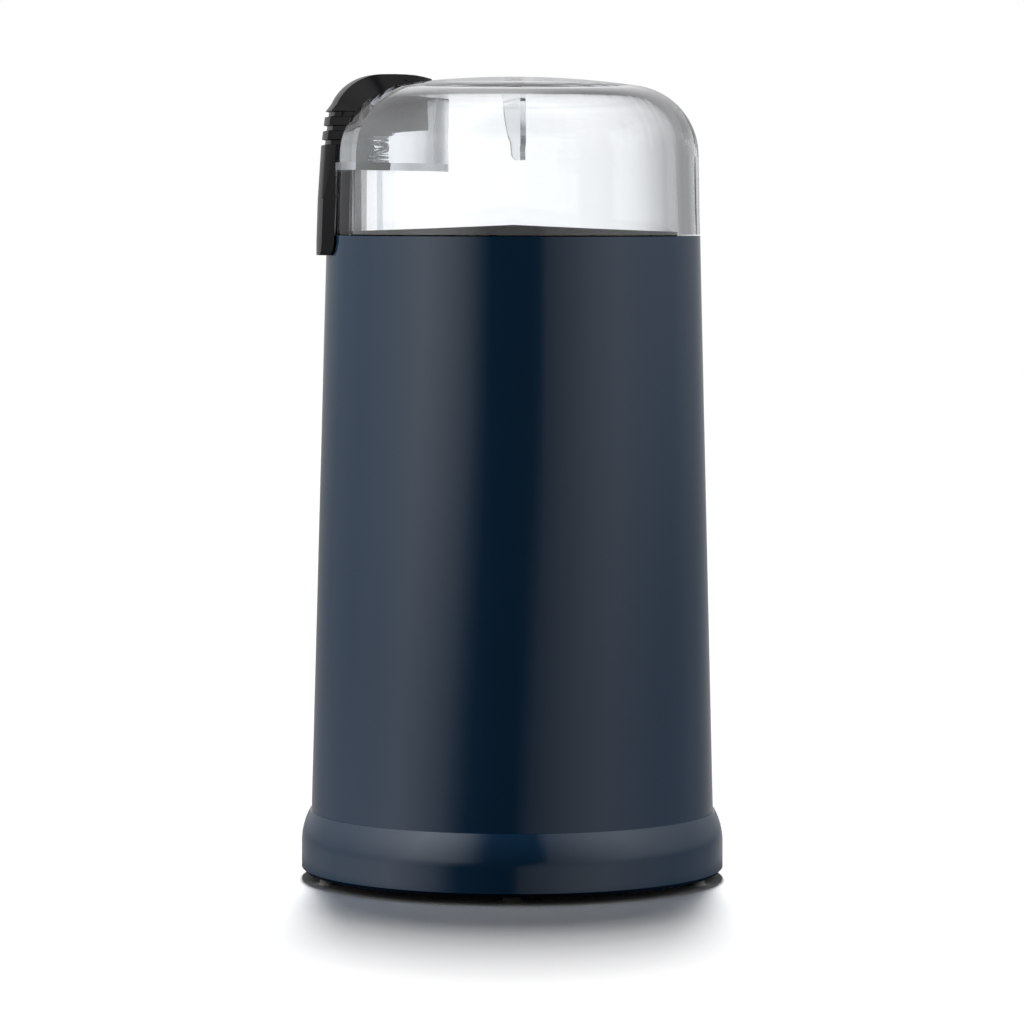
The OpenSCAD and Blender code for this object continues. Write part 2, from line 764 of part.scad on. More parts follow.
stations = concat(
    [[[pad_r, pad_z], [pad_in_r, pad_z], [pad_in_r, pad_z], pad_half - 3]],
    [[[pad_r, pad_z + 1], [pad_in_r, pad_z + 1], [pad_in_r, pad_z + 1], pad_half - 0.8]],
    [[[pad_r, pad_z + 3], [pad_in_r, pad_z + 3], [pad_in_r, pad_z + 3], pad_half]],
    [[[pad_r - 0.3, deck_z + 8], [upper_in_r, deck_z + 8], [upper_in_r, deck_z + 8], pad_half]],
    groove_stations(),
    knuckle_stations(),
    tongue_stations());

// Sections along the tongue: distance past its tip, and depths below the crest
function tongue_stations() = [for (t = [[9.6, -0.05, 1.75, 3.5], [6.6, 0, 1.6, 3.1], [4, 0.15, 1.6, 2.7],
                                        [2, 0.45, 1.6, 2.3], [0.8, 0.7, 1.55, 1.9], [0.2, 0.85, 1.4, 1.5]])
    [[tongue_r + t[0], crest_z - t[1]], [tongue_r + t[0], crest_z - t[2]],
     [tongue_r + t[0], crest_z - t[3]], crease_half]];

// Point at a radius, height and side offset, on the -X side; the tongue straightens towards its tip
function lid_point(p, y) =
    let (bend = min(1, max(0, (p[0] - tongue_r) / (knuckle_x - tongue_r))))
    [-p[0] + bend * (p[0] - sqrt(max(1, p[0] * p[0] - y * y))), y, p[1]];

// Ring of points around the cap at one station: five outside, then nine on the shell and skirts
function cap_ring(s, half) = let (
    w = min(s[3], half * 0.78),
    d = max(half - 1.4, half * 0.5),
    e = max(d - 0.6, d * 0.6)) concat(
    [for (k = [-1:0.5:1]) lid_point(s[0], k * w)],
    [lid_point(s[2], half), lid_point(s[2], d)],
    [for (k = [1:-0.5:-1]) lid_point(s[1], k * e)],
    [lid_point(s[2], -d), lid_point(s[2], -half)]);

// Triangles that close the end of the cap, across its channel section
cap_end = [[0, 12, 13], [0, 11, 12], [0, 1, 11], [1, 10, 11], [1, 2, 10], [2, 9, 10],
           [2, 8, 9], [2, 3, 8], [3, 7, 8], [3, 4, 7], [4, 6, 7], [4, 5, 6]];

// Half width at which a station's skirt meets the round nose of the button, seen from above
function nose_half(p, low, high, tries) = tries == 0 ? low :
    let (y = (low + high) / 2,
         x = nose_c + lid_point(p, y)[0])
    x < 0 || x * x + y * y < btn_half * btn_half ? nose_half(p, y, high, tries - 1) :
    nose_half(p, low, y, tries - 1);

function station_half(i) = i == 0 ? btn_half - 3 : i == 1 ? btn_half - 0.9 :
    nose_half(stations[i][2], 0, btn_half, 12);

module button_cap() {
    n = len(stations);
    tube([for (i = [0:n - 1]) each cap_ring(stations[i], station_half(i))], n, 14, cap_end);
}

module button() {
    color("#202125") {
        button_cap();
        // Push rod, and the ribs that carry the return spring's seat
        translate([rod_x, 0, rod_end_z])
            cylinder(r = rod_r, h = crest_z - 4.4 - rod_end_z);
        for (s = [-1, 0, 1]) button_rib(s * 9.4);
        translate([spring_x - 3.4, -10.2, spring_top]) cube([6.8, 20.4, 1.4]);
    }
}

// Rib in the XZ plane between the cap and the seat, with a sloping lower edge, that ends inside the nose
module button_rib(y) {
    rib_end = nose_c - sqrt(pow(btn_half - 0.5, 2) - pow(abs(y) * 1.15, 2)) + 0.2;
    translate([0, y + 0.8, 0]) rotate([90, 0, 0]) linear_extrude(1.6)
        polygon([[spring_x - 3.4, spring_top], [-rib_end, spring_top + 1.2],
                 [-rib_end, crest_z - 1.2], [-knuckle_x + 0.5, crest_z - 1],
                 [spring_x - 3.4, crest_z - 2.2]]);
}

module button_spring() {
    color("#c9ccd0") translate([spring_x, 0, pocket_z + 0.05])
        coil(spring_d, spring_wire, spring_top - pocket_z - 0.1, 4);
}

// Switch train

module switch_rod() {
    color("#e4e2dc") {
        translate([rod_x, 0, rod_tip]) cylinder(r = rod_r, h = switch_rod_top - rod_tip);
        translate([rod_x, 0, rod_collar_z]) cylinder(r = rod_r + 0.8, h = 1.6);
    }
}

module rod_spring() {
    color("#c9ccd0") translate([rod_x, 0, ledge_spring_z + 0.05])
        coil((rod_r + fit_gap) * 2 + 1, 0.4, rod_collar_z - ledge_spring_z - 0.1, 10);
}

module microswitch() {
    color("#3a3d42") difference() {
        union() {
            translate([switch_face, -switch_l / 2, switch_top - switch_h])
                cube([switch_t, switch_l, switch_h]);
            for (y = [-7, 0, 7])
                translate([switch_face + switch_t / 2 - 0.4, y - 1.6, switch_top - switch_h - 5])
                    cube([0.8, 3.2, 5.2]);
        }
        switch_holes(1.15);
        translate([rod_x - plunger_half - 0.1, plunger_y - plunger_half - 0.1, switch_top - 3])
            cube([plunger_half * 2 + 0.2, plunger_half * 2 + 0.2, 4]);
    }
}

module switch_lever() {
    color("#b0b4b8") translate([rod_x, pivot_y, lever_z]) rotate([lever_angle, 0, 0]) {
        translate([-1.4, 0, -lever_t / 2]) cube([2.8, lever_len, lever_t]);
        rotate([0, 90, 0]) translate([0, 0, -1.4]) cylinder(r = 0.5, h = 2.8, $fn = 24);
    }
}

module switch_plunger() {
    color("#a33028") translate([rod_x - plunger_half, plunger_y - plunger_half, plunger_top - 2.4])
        cube([plunger_half * 2, plunger_half * 2, 2.4]);
}

module switch_screws() {
    color("#b9bcc0") for (s = [-1, 1])
        translate([switch_x + 1.2, s * switch_l / 4, switch_top - switch_h * 0.7])
            rotate([0, -90, 0]) screw(1.05, switch_t + switch_hole_depth + 1, 2, 1.2);
}

// Rotating parts

module shaft() {
    color("#b8bcc0") translate([0, 0, shaft_z]) cylinder(r = shaft_r, h = shaft_top - shaft_z);
}

module blade() {
    flat = blade_l / 2 * 0.62;
    tip = blade_l / 2 - flat;
    color("#cdd0d3") translate([0, 0, blade_z]) difference() {
        union() {
            translate([-blade_w / 2, -blade_w / 2, 0]) cube([blade_w, blade_w, blade_t]);
            for (a = [0, 180]) rotate([0, 0, a]) {
                linear_extrude(blade_t)
                    polygon([[0, -blade_w / 2], [flat, -blade_w / 2 + 1],
                             [flat, blade_w / 2 - 2.4], [0, blade_w / 2]]);
                translate([flat, 0, 0]) rotate([0, -tip_angle, 0]) linear_extrude(blade_t)
                    polygon([[-0.1, -blade_w / 2 + 1], [tip - 3, -blade_w / 2 + 1.6], [tip, -0.6],
                             [tip - 1, blade_w / 2 - 3.4], [-0.1, blade_w / 2 - 2.4]]);
            }
        }
        translate([0, 0, -1]) cylinder(r = 3, h = blade_t + 2);
    }
}

module blade_hub() {
    color("#9fa3a6") difference() {
        union() {
            translate([0, 0, hub_z]) cylinder(r = hub_r, h = hub_h);
            translate([0, 0, hub_z]) cylinder(r = 3 - press_eps, h = hub_h + blade_t);
        }
        translate([0, 0, hub_z - 1]) cylinder(r = shaft_r, h = 10);
    }
}

module blade_nut() {
    color("#b8bcc0") translate([0, 0, blade_z + blade_t]) difference() {
        cylinder(r = 4.6, h = nut_h, $fn = 6);
        translate([0, 0, -1]) cylinder(r = shaft_r, h = nut_h + 2);
    }
}

module thrust_washers() {
    color("#c7a24a") {
        translate([0, 0, low_z + bracket_t + 2.3]) ring(3.8, shaft_r, 0.9);
        translate([0, 0, up_z + bracket_t - up_boss_h - 1.2]) ring(3.8, shaft_r, 0.9);
    }
}

module fan() {
    color("#d6d2c4") translate([0, 0, fan_z]) difference() {
        union() {
            cylinder(r = fan_r, h = 1);
            cylinder(r = 6, h = fan_h);
            for (i = [0:fan_n - 1])
                rotate([0, 0, i * 360 / fan_n]) translate([5, 0, 0]) rotate([0, 0, 18])
                    translate([0, -0.6, 0]) cube([fan_r - 6.5, 1.2, fan_h]);
        }
        translate([0, 0, -1]) cylinder(r = shaft_r, h = fan_h + 2);
    }
}

module armature_core() {
    color("#6d6f73") difference() {
        translate([0, 0, core_z]) cylinder(r = armature_r, h = core_h);
        translate([0, 0, core_z - 1]) cylinder(r = shaft_r, h = core_h + 2);
        translate([0, 0, core_z - 1]) around(slot_n, 0, armature_r - 3) {
            cylinder(r = 1.9, h = core_h + 2, $fn = 32);
            translate([0, -0.6, 0]) cube([5, 1.2, core_h + 2]);
        }
    }
}

module armature_windings() {
    color("#a8562a") {
        for (z = [core_z - 4.6, core_top])
            translate([0, 0, z]) ring(armature_r - 1.6, 4.4, 4.6);
        translate([0, 0, core_z - 0.5])
            around(slot_n, 0, armature_r - 3) cylinder(r = 1.6, h = core_h + 1, $fn = 32);
        translate([0, 0, core_z - 8.6]) ring(6.4, shaft_r, 4.1);
    }
}

module commutator() {
    color("#b5713c") difference() {
        union() {
            translate([0, 0, comm_z]) cylinder(r = comm_r, h = comm_h);
            translate([0, 0, comm_z + comm_h - 1.6]) cylinder(r = comm_r + 1.1, h = 1.6);
        }
        translate([0, 0, comm_z - 1]) cylinder(r = shaft_r, h = comm_h + 2);
        translate([0, 0, comm_z - 0.1]) around(slot_n, 15, comm_r - 1.2)
            translate([0, -0.25, 0]) cube([5, 0.5, comm_h + 1]);
    }
}

// Fixed parts of the motor

module field_core() {
    color("#7b7e82") translate([0, 0, core_z]) difference() {
        translate([-core_l / 2, -core_w / 2, 0]) cube([core_l, core_w, core_h]);
        translate([0, 0, -1]) cylinder(r = bore_r, h = core_h + 2);
        for (sx = [0, 1], sy = [0, 1])
            mirror([sx, 0, 0]) mirror([0, sy, 0])
                translate([window_x0, window_y0, -1])
                    cube([window_x1 - window_x0, window_y1 - window_y0, core_h + 2]);
        translate([0, 0, -1]) four(bolt_x, bolt_y) cylinder(r = bolt_r + 0.1, h = core_h + 2);
    }
}

module field_coils() {
    in_y = window_y0 + coil_gap;
    out_y = window_y1 - coil_gap;
    in_x = window_x0 + coil_gap;
    out_x = window_x1 - coil_gap;
    color("#9c4a22") for (s = [0, 1]) mirror([s, 0, 0]) difference() {
        translate([in_x, -out_y, core_z - coil_over])
            cube([out_x - in_x, out_y * 2, core_h + coil_over * 2]);
        translate([in_x - 1, -in_y, core_z - coil_gap])
            cube([out_x - in_x + 2, in_y * 2, core_h + coil_gap * 2]);
        translate([0, 0, core_z - coil_over - 1])
            cylinder(r = bore_r + 0.6, h = core_h + coil_over * 2 + 2);
    }
}

module upper_bracket() {
    color("#a9adb0") translate([0, 0, up_z]) difference() {
        bracket(bracket_reach) {
            translate([0, 0, bracket_t - up_boss_h]) cylinder(r = boss_r, h = up_boss_h);
            translate([0, 0, core_top - up_z]) four(bolt_x, bolt_y)
                cylinder(r = post_r, h = up_z - core_top + 1);
        }
        for (s = [-1, 1]) translate([0, s * mount_r, -1]) cylinder(r = 2.6, h = bracket_t + 2);
    }
}

module lower_bracket() {
    color("#a9adb0") translate([0, 0, low_z])
        bracket(bolt_y) {
            translate([0, 0, low_boss_z - low_z]) cylinder(r = boss_r, h = low_boss_h);
            translate([0, 0, 1]) four(bolt_x, bolt_y) cylinder(r = post_r, h = core_z - low_z - 1);
        }
}

module upper_bearing() {
    color("#b08d4a") translate([0, 0, up_z + bracket_t - up_boss_h])
        ring(bearing_r - press_eps, shaft_r + run_gap, up_boss_h + 2);
}

module lower_bearing() {
    color("#b08d4a") translate([0, 0, low_boss_z]) ring(bearing_r - press_eps, shaft_r + run_gap, low_boss_h);
}

module motor_bolts() {
    color("#b9bcc0") four(bolt_x, bolt_y)
        translate([0, 0, up_z + bracket_t + bolt_head_h]) mirror([0, 0, 1])
            screw(bolt_r - 0.05, up_z - low_z + bracket_t + bolt_head_h + 2.6, 2.9, bolt_head_h);
}

module motor_nuts() {
    color("#b9bcc0") translate([0, 0, low_z - nut_t]) four(bolt_x, bolt_y) difference() {
        cylinder(r = 3, h = nut_t, $fn = 6);
        translate([0, 0, -1]) cylinder(r = bolt_r - 0.05, h = 5);
    }
}

module motor_mounts() {
    color("#26272a") for (s = [-1, 1]) translate([0, s * mount_r, 0]) {
        translate([0, 0, up_z - mount_t]) ring(rubber_r, mount_screw_r + 0.1, mount_t);
        translate([0, 0, up_z + bracket_t]) ring(rubber_r, mount_screw_r + 0.1, mount_cap_t);
        translate([0, 0, up_z - 0.5]) ring(2.5, mount_screw_r + 0.1, bracket_t + 1);
    }
}

module mount_screws() {
    color("#b9bcc0") for (s = [-1, 1])
        translate([0, s * mount_r, up_z + bracket_t + mount_cap_t + 2]) mirror([0, 0, 1])
            screw(mount_screw_r - 0.02, mount_cap_t + bracket_t + mount_t + lug_h, 3.4, 2);
}

module brush_holders() {
    base_top = low_z + bracket_t;
    color("#c9b27a") for (s = [0, 1]) mirror([0, s, 0]) difference() {
        translate([-holder_half, holder_y0, base_top])
            cube([holder_half * 2, holder_y1 - holder_y0, brush_z + brush_h / 2 + 1.4 - base_top]);
        translate([-brush_w / 2 - slide_gap, 0, brush_z - brush_h / 2 - slide_gap])
            cube([brush_w + slide_gap * 2, holder_y1 - holder_end, brush_h + slide_gap * 2]);
    }
}

// Carbon block with a hollow that follows the commutator
module brush() {
    color("#2b2b2d") difference() {
        translate([-brush_w / 2, brush_y0 - 0.5, brush_z - brush_h / 2])
            cube([brush_w, brush_l + 0.5, brush_h]);
        translate([0, 0, comm_z - 5]) cylinder(r = brush_y0, h = comm_h + 10);
    }
}

module brush_left() {
    mirror([0, 1, 0]) brush();
}

module brush_right() {
    brush();
}

module brush_spring() {
    color("#c9ccd0") translate([0, brush_y0 + brush_l + 0.05, brush_z]) rotate([-90, 0, 0])
        coil(3.6, 0.45, spring_len - 0.1, 6);
}

module brush_spring_left() {
    mirror([0, 1, 0]) brush_spring();
}

module brush_spring_right() {
    brush_spring();
}

module thermal_fuse() {
    fuse_r = 1.3;
    x = window_x1 - coil_gap - fuse_r - 0.3;
    color("#d8d2c0") translate([x, -5.5, core_top + coil_over + fuse_r]) rotate([-90, 0, 0])
        cylinder(r = fuse_r, h = 11, $fn = 32);
}

module capacitor() {
    color("#c48a2c") translate([cap_x, cap_y, cover_top]) cube([cap_l, cap_w, cap_h]);
}

// Cord entry

module cord_gland() {
    color("#17181a") difference() {
        intersection() {
            translate([0, 0, cord_z]) rotate([-90, 0, 0]) union() {
                translate([0, 0, gland_in_y]) cylinder(r = gland_r - press_eps, h = 20);
                translate([0, 0, gland_in_y - 1.4]) cylinder(r = gland_r + 1, h = 2.2);
            }
            translate([0, 0, cover_z + 0.1]) cylinder(r = base_r, h = base_h - base_wall * 2 - 0.2);
        }
        translate([0, 0, cord_z]) rotate([-90, 0, 0]) cylinder(r = cord_r, h = base_r + 20);
    }
}

module cord_clamp() {
    color("#d8d4c8") difference() {
        translate([-clamp_x - clamp_post_r, clamp_y - 3, clamp_z])
            cube([(clamp_x + clamp_post_r) * 2, 6, clamp_t]);
        for (s = [-1, 1]) translate([s * clamp_x, clamp_y, clamp_z - 1])
            cylinder(r = cover_screw_r + 0.1, h = 5);
    }
}

module clamp_screws() {
    color("#b9bcc0") for (s = [-1, 1])
        translate([s * clamp_x, clamp_y, clamp_z + clamp_t + 1.2]) mirror([0, 0, 1])
            screw(cover_screw_r - 0.02, clamp_t + clamp_z - cover_top, 2.3, 1.2);
}

// Three insulated leads: cord to switch, switch to motor, and cord to motor
module lead_wires() {
    term_z = switch_top - switch_h - 5.6;
    term_x = switch_face + switch_t / 2;
    color("#8a2f2a") {
        wire([[-3, clamp_y - 4.5, cord_z], [-lead_out_x, lead_out_y, cord_z],
              [-lead_wall_x * 0.86, lead_out_y - 10, cord_z + 4],
              [-lead_wall_x, switch_l / 2 - 1, core_z], [term_x, 7, term_z]], lead_r);
        wire([[term_x, 0, term_z], [term_x + 1, 1, core_top + 2],
              [-window_x1 - 0.8, 3, core_top + 3.4]], lead_r);
        wire([[3, clamp_y - 4.5, cord_z], [lead_out_x, lead_out_y - 2, cord_z + 1],
              [lead_side_x, lead_side_y, low_z - 4], [lead_side_x, lead_side_y - 4, core_z - 8],
              [window_x1 + 0.9, 2, core_z - 3.4]], lead_r);
    }
}

housing();
base_ring();
bottom_cover();
feet();
base_screws();
cover_screws();
bowl();
bowl_collar();
bowl_bush();
bush_nut();
shaft_seal();
lid();
button();
button_spring();
switch_rod();
rod_spring();
microswitch();
switch_lever();
switch_plunger();
switch_screws();
shaft();
blade();
blade_hub();
blade_nut();
thrust_washers();
fan();
armature_core();
armature_windings();
commutator();
field_core();
field_coils();
upper_bracket();
lower_bracket();
upper_bearing();
lower_bearing();
motor_bolts();
motor_nuts();
motor_mounts();
mount_screws();
brush_holders();
brush_left();
brush_right();
brush_spring_left();
brush_spring_right();
thermal_fuse();
capacitor();
cord_gland();
cord_clamp();
clamp_screws();
lead_wires();
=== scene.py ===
import json
import math

import bmesh
import bpy
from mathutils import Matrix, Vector


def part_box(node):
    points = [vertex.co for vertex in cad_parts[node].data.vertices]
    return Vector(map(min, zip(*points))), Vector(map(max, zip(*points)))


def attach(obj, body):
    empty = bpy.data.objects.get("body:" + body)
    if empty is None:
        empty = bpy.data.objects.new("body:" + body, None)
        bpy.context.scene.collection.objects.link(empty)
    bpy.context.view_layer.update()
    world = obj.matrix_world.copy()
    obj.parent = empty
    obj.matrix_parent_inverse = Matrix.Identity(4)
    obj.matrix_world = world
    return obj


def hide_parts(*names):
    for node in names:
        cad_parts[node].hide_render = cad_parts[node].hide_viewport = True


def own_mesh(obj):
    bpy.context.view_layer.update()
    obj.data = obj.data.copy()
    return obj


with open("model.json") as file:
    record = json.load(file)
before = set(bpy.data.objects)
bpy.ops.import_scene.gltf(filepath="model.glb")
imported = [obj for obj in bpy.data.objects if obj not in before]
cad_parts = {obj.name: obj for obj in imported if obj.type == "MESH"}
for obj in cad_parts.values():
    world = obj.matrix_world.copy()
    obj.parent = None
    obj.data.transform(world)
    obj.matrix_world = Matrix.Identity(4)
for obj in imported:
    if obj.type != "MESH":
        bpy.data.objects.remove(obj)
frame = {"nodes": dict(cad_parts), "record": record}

bl_info = {
    "name": "Spice Grinder",
    "version": (1, 0, 0),
    "blender": (4, 5, 0),
    "location": "3D View > Sidebar > Grinder",
    "description": "Finishes, springs and button of a small electric spice grinder",
    "category": "Object",
}

MM = 0.001


def linear(text):
    """Linear colour, with alpha 1, from an sRGB hex value such as #14243a."""
    parts = [int(text[i:i + 2], 16) / 255 for i in (1, 3, 5)]
    return tuple(p / 12.92 if p <= 0.04045 else ((p + 0.055) / 1.055) ** 2.4 for p in parts) + (1.0,)


def colour(name, description, default):
    """Property for a colour, whose default is an sRGB hex value."""
    return bpy.props.FloatVectorProperty(
        name=name, description=description, default=linear(default), size=4, min=0, max=1, subtype="COLOR")


def length(name, description, default):
    """Property for a length in metres."""
    return bpy.props.FloatProperty(
        name=name, description=description, default=default, min=0, unit="LENGTH", subtype="DISTANCE")


def factor(name, description, default):
    """Property for a share from 0 to 1."""
    return bpy.props.FloatProperty(
        name=name, description=description, default=default, min=0, max=1, subtype="FACTOR")


def degrees(name, description, default):
    """Property for an angle, whose default is in degrees."""
    return bpy.props.FloatProperty(
        name=name, description=description, default=math.radians(default), subtype="ANGLE")


# Sizes and colours that a user may change

class CasingSettings(bpy.types.PropertyGroup):
    navy: colour("Navy", "Colour of the gloss moulded casing and base", "#10273c")
    cover: colour("Cover", "Colour of the textured cover under the base", "#16181a")
    rubber: colour("Feet", "Colour of the rubber feet", "#62615e")
    gloss: factor("Roughness", "Roughness of the gloss moulded casing", 0.12)


class LidSettings(bpy.types.PropertyGroup):
    tint: colour("Clear tint", "Tint of the thick clear lid", "#fbfcfd")
    gloss: factor("Roughness", "Roughness of the polished mould's surface", 0.005)
    haze: colour("Haze", "Colour that light takes on in the depth of the lid", "#c9cdd2")
    density: bpy.props.FloatProperty(
        name="Haze density", description="How fast the haze builds up, for each metre of plastic", default=30, min=0)


class ButtonSettings(bpy.types.PropertyGroup):
    black: colour("Black", "Colour of the satin push button", "#0c0c0e")
    gloss: factor("Roughness", "Roughness of the satin push button", 0.22)
    edge: length("Edge radius", "Rounding of the button's creases and edges", 0.22 * MM)
    spring_wire: length("Spring wire", "Diameter of the return spring's wire", 0.5 * MM)


class MetalSettings(bpy.types.PropertyGroup):
    stainless: colour("Stainless", "Colour of the bowl, blade and its nut", "#c9c8c5")
    steel: colour("Zinc plate", "Colour of plated screws and brackets", "#b4b8bd")
    copper: colour("Copper", "Colour of the commutator's bars", "#c4794f")
    gloss: factor("Roughness", "Roughness of the brushed bowl", 0.26)


class StageSettings(bpy.types.PropertyGroup):
    distance: length("Camera distance", "From the shaft's axis to the camera", 1.095)
    eye: length("Eye height", "Height of the camera above the floor", 151.1 * MM)
    lens: bpy.props.FloatProperty(name="Lens", description="Focal length", default=172.9, min=1, unit="CAMERA")
    pitch: degrees("Pitch", "Angle of the camera below the horizon", 3.622)
    roll: degrees("Roll", "Turn of the camera about its line of sight", -0.12)
    yaw: degrees("Yaw", "Turn of the camera to the left", 0.0187)
    fill: factor("Fill", "Even light from all sides", 0.035)
    floor: colour("Floor", "Colour of the floor for the light it sends back", "#a0a0a0")
    floor_gain: bpy.props.FloatProperty(
        name="Floor brightness", description="Gain that makes the unshaded floor white", default=3.2, min=0)


class GrinderSettings(bpy.types.PropertyGroup):
    casing: bpy.props.PointerProperty(type=CasingSettings)
    lid: bpy.props.PointerProperty(type=LidSettings)
    button: bpy.props.PointerProperty(type=ButtonSettings)
    metal: bpy.props.PointerProperty(type=MetalSettings)
    stage: bpy.props.PointerProperty(type=StageSettings)


# Material helpers

# Nearly all of a noise lies between these values
NOISE_LOW, NOISE_HIGH = 0.3, 0.7
# Width of the faint clouds in a moulded surface, and of the patches where a turned one is duller
CLOUDS, PATCHES = 18 * MM, 9 * MM
# Between what shares of its mean the roughness runs on a moulded, a worked and a turned surface
MOULDED_SPAN, WORKED_SPAN, TURNED_SPAN = (0.88, 1.12), (0.75, 1.3), (0.85, 1.2)


def add(tree, kind, settings=None, links=None):
    """Adds a shader node, sets its colour ramp's stops, its properties and inputs, and links sockets into it."""
    made = tree.nodes.new("ShaderNode" + kind)
    for key, value in (settings or {}).items():
        if key == "stops":
            for i, (place, shown) in enumerate(value):
                stop = made.color_ramp.elements[i] if i < 2 else made.color_ramp.elements.new(place)
                stop.position, stop.color = place, shown
        elif isinstance(key, int) or key in made.inputs:
            made.inputs[key].default_value = value
        else:
            setattr(made, key, value)
    for key, socket in (links or {}).items():
        tree.links.new(socket, made.inputs[key])
    return made


def start(name, settings):
    """A new material with one Principled shader. Returns it, its tree, the shader and its object coordinates."""
    material = bpy.data.materials.new(name)
    material.use_nodes = True
    tree = material.node_tree
    tree.nodes.clear()
    shader = add(tree, "BsdfPrincipled", settings)
    add(tree, "OutputMaterial", links={"Surface": shader.outputs["BSDF"]})
    place = add(tree, "TexCoord").outputs["Object"]
    return material, tree, shader, place


def grains(tree, place, across, detail=2.0, stretch=None):
    """Pattern of grains about that many metres across, and longer along an axis whose stretch is below 1."""
    if stretch:
        place = add(tree, "Mapping", {"Scale": stretch}, {"Vector": place}).outputs["Vector"]
    # At scale 1 the grains of a noise are about half a metre across
    return add(tree, "TexNoise", {"Scale": 0.5 / across, "Detail": detail}, {"Vector": place}).outputs["Fac"]


def vary(tree, shader, pattern, tones=None, levels=None, relief=None, span=(NOISE_LOW, NOISE_HIGH)):
    """Runs the surface between two colours and two levels of roughness, and lifts it, as the pattern says."""
    if tones:
        tone = add(tree, "ValToRGB", {"stops": zip(span, tones)}, {"Fac": pattern})
        tree.links.new(tone.outputs["Color"], shader.inputs["Base Color"])
    if levels:
        level = add(tree, "MapRange", {
            "From Min": span[0], "From Max": span[1], "To Min": levels[0], "To Max": levels[1]}, {"Value": pattern})
        tree.links.new(level.outputs["Result"], shader.inputs["Roughness"])
    if relief:
        lifted = add(tree, "Bump", {"Strength": 1.0, "Distance": relief}, {"Height": pattern})
        tree.links.new(lifted.outputs["Normal"], shader.inputs["Normal"])


def shades(base, share):
    """A colour made darker and made lighter by that share."""
    return [tuple(min(1.0, c * k) for c in base[:3]) + (1.0,) for k in (1 - share, 1 + share)]


def moulded(name, base, roughness, grain, depth, tone=0.06, ior=1.53, specular=0.5):
    """Moulded or pressed material: faint clouds, by the share tone, and a texture with that grain and depth."""
    material, tree, shader, place = start(name, {"IOR": ior, "Specular IOR Level": specular})
    vary(tree, shader, grains(tree, place, CLOUDS), tones=shades(base, tone))
    texture = grains(tree, place, grain, detail=3.0)
    vary(tree, shader, texture, levels=[roughness * k for k in MOULDED_SPAN], relief=depth)
    return material


def metal(name, base, roughness, grain, stretch, depth, tone=0.08):
    """Bare or plated metal with lines of that grain and depth. Stretch gives the way it was worked."""
    material, tree, shader, place = start(name, {"Metallic": 1.0})
    lines = grains(tree, place, grain, detail=4.0, stretch=stretch)
    vary(tree, shader, lines, shades(base, tone), [roughness * k for k in WORKED_SPAN], depth)
    return material


def turned(name, base, roughness, pitch, depth, tone=0.08):
    """Metal turned or spun about the shaft's axis, with tool rings about that far apart."""
    material, tree, shader, place = start(name, {"Metallic": 1.0})
    across = add(tree, "VectorMath", {"operation": "MULTIPLY", 1: (1, 1, 0)}, {0: place}).outputs["Vector"]
    radius = add(tree, "VectorMath", {"operation": "LENGTH"}, {0: across}).outputs["Value"]
    rise = add(tree, "SeparateXYZ", links={0: place}).outputs["Z"]
    profile = add(tree, "CombineXYZ", links={"X": radius, "Z": rise}).outputs["Vector"]
    vary(tree, shader, grains(tree, profile, pitch, detail=3.0), tones=shades(base, tone), relief=depth)
    vary(tree, shader, grains(tree, place, PATCHES), levels=[roughness * k for k in TURNED_SPAN])
    return material


def banded(name, colour_a, colour_b, pitch, depth, settings):
    """Level rows at that pitch, as wound wire or stacked sheets show."""
    material, tree, shader, place = start(name, settings)
    # At scale 1 the bands of a wave are a tenth of pi apart
    rows = add(tree, "TexWave", {
        "bands_direction": "Z", "Scale": 0.1 / pitch * math.pi, "Distortion": 0.4, "Detail": 1.0},
        {"Vector": place}).outputs["Fac"]
    vary(tree, shader, rows, tones=(colour_a, colour_b), relief=depth, span=(0.1, 0.9))
    return material


# Materials of this grinder, one for each slot of the record

def navy_abs(s):
    # Gloss ABS from a polished mould: a deep navy body colour under a clean, slightly soft reflection
    material, tree, shader, place = start("navy_abs_gloss_moulded", {"IOR": 1.53})
    vary(tree, shader, grains(tree, place, 22 * MM), tones=shades(s.casing.navy, 0.04))
    peel = grains(tree, place, 1.6 * MM)
    vary(tree, shader, peel, levels=(s.casing.gloss * 0.92, s.casing.gloss * 1.08), relief=0.0012 * MM)
    return material


def clear_san(s):
    # Clear SAN, polished mould: water clear and thick, so its edges gather the surroundings as dark lines
    material, tree, shader, place = start("clear_san_polished_mould", {
        "Base Color": s.lid.tint, "IOR": 1.57, "Transmission Weight": 1.0, "Roughness": s.lid.gloss})
    vary(tree, shader, grains(tree, place, 14 * MM), relief=0.003 * MM)
    depth = add(tree, "VolumeAbsorption", {"Color": s.lid.haze, "Density": s.lid.density})
    tree.links.new(depth.outputs["Volume"], tree.nodes["Material Output"].inputs["Volume"])
    return material


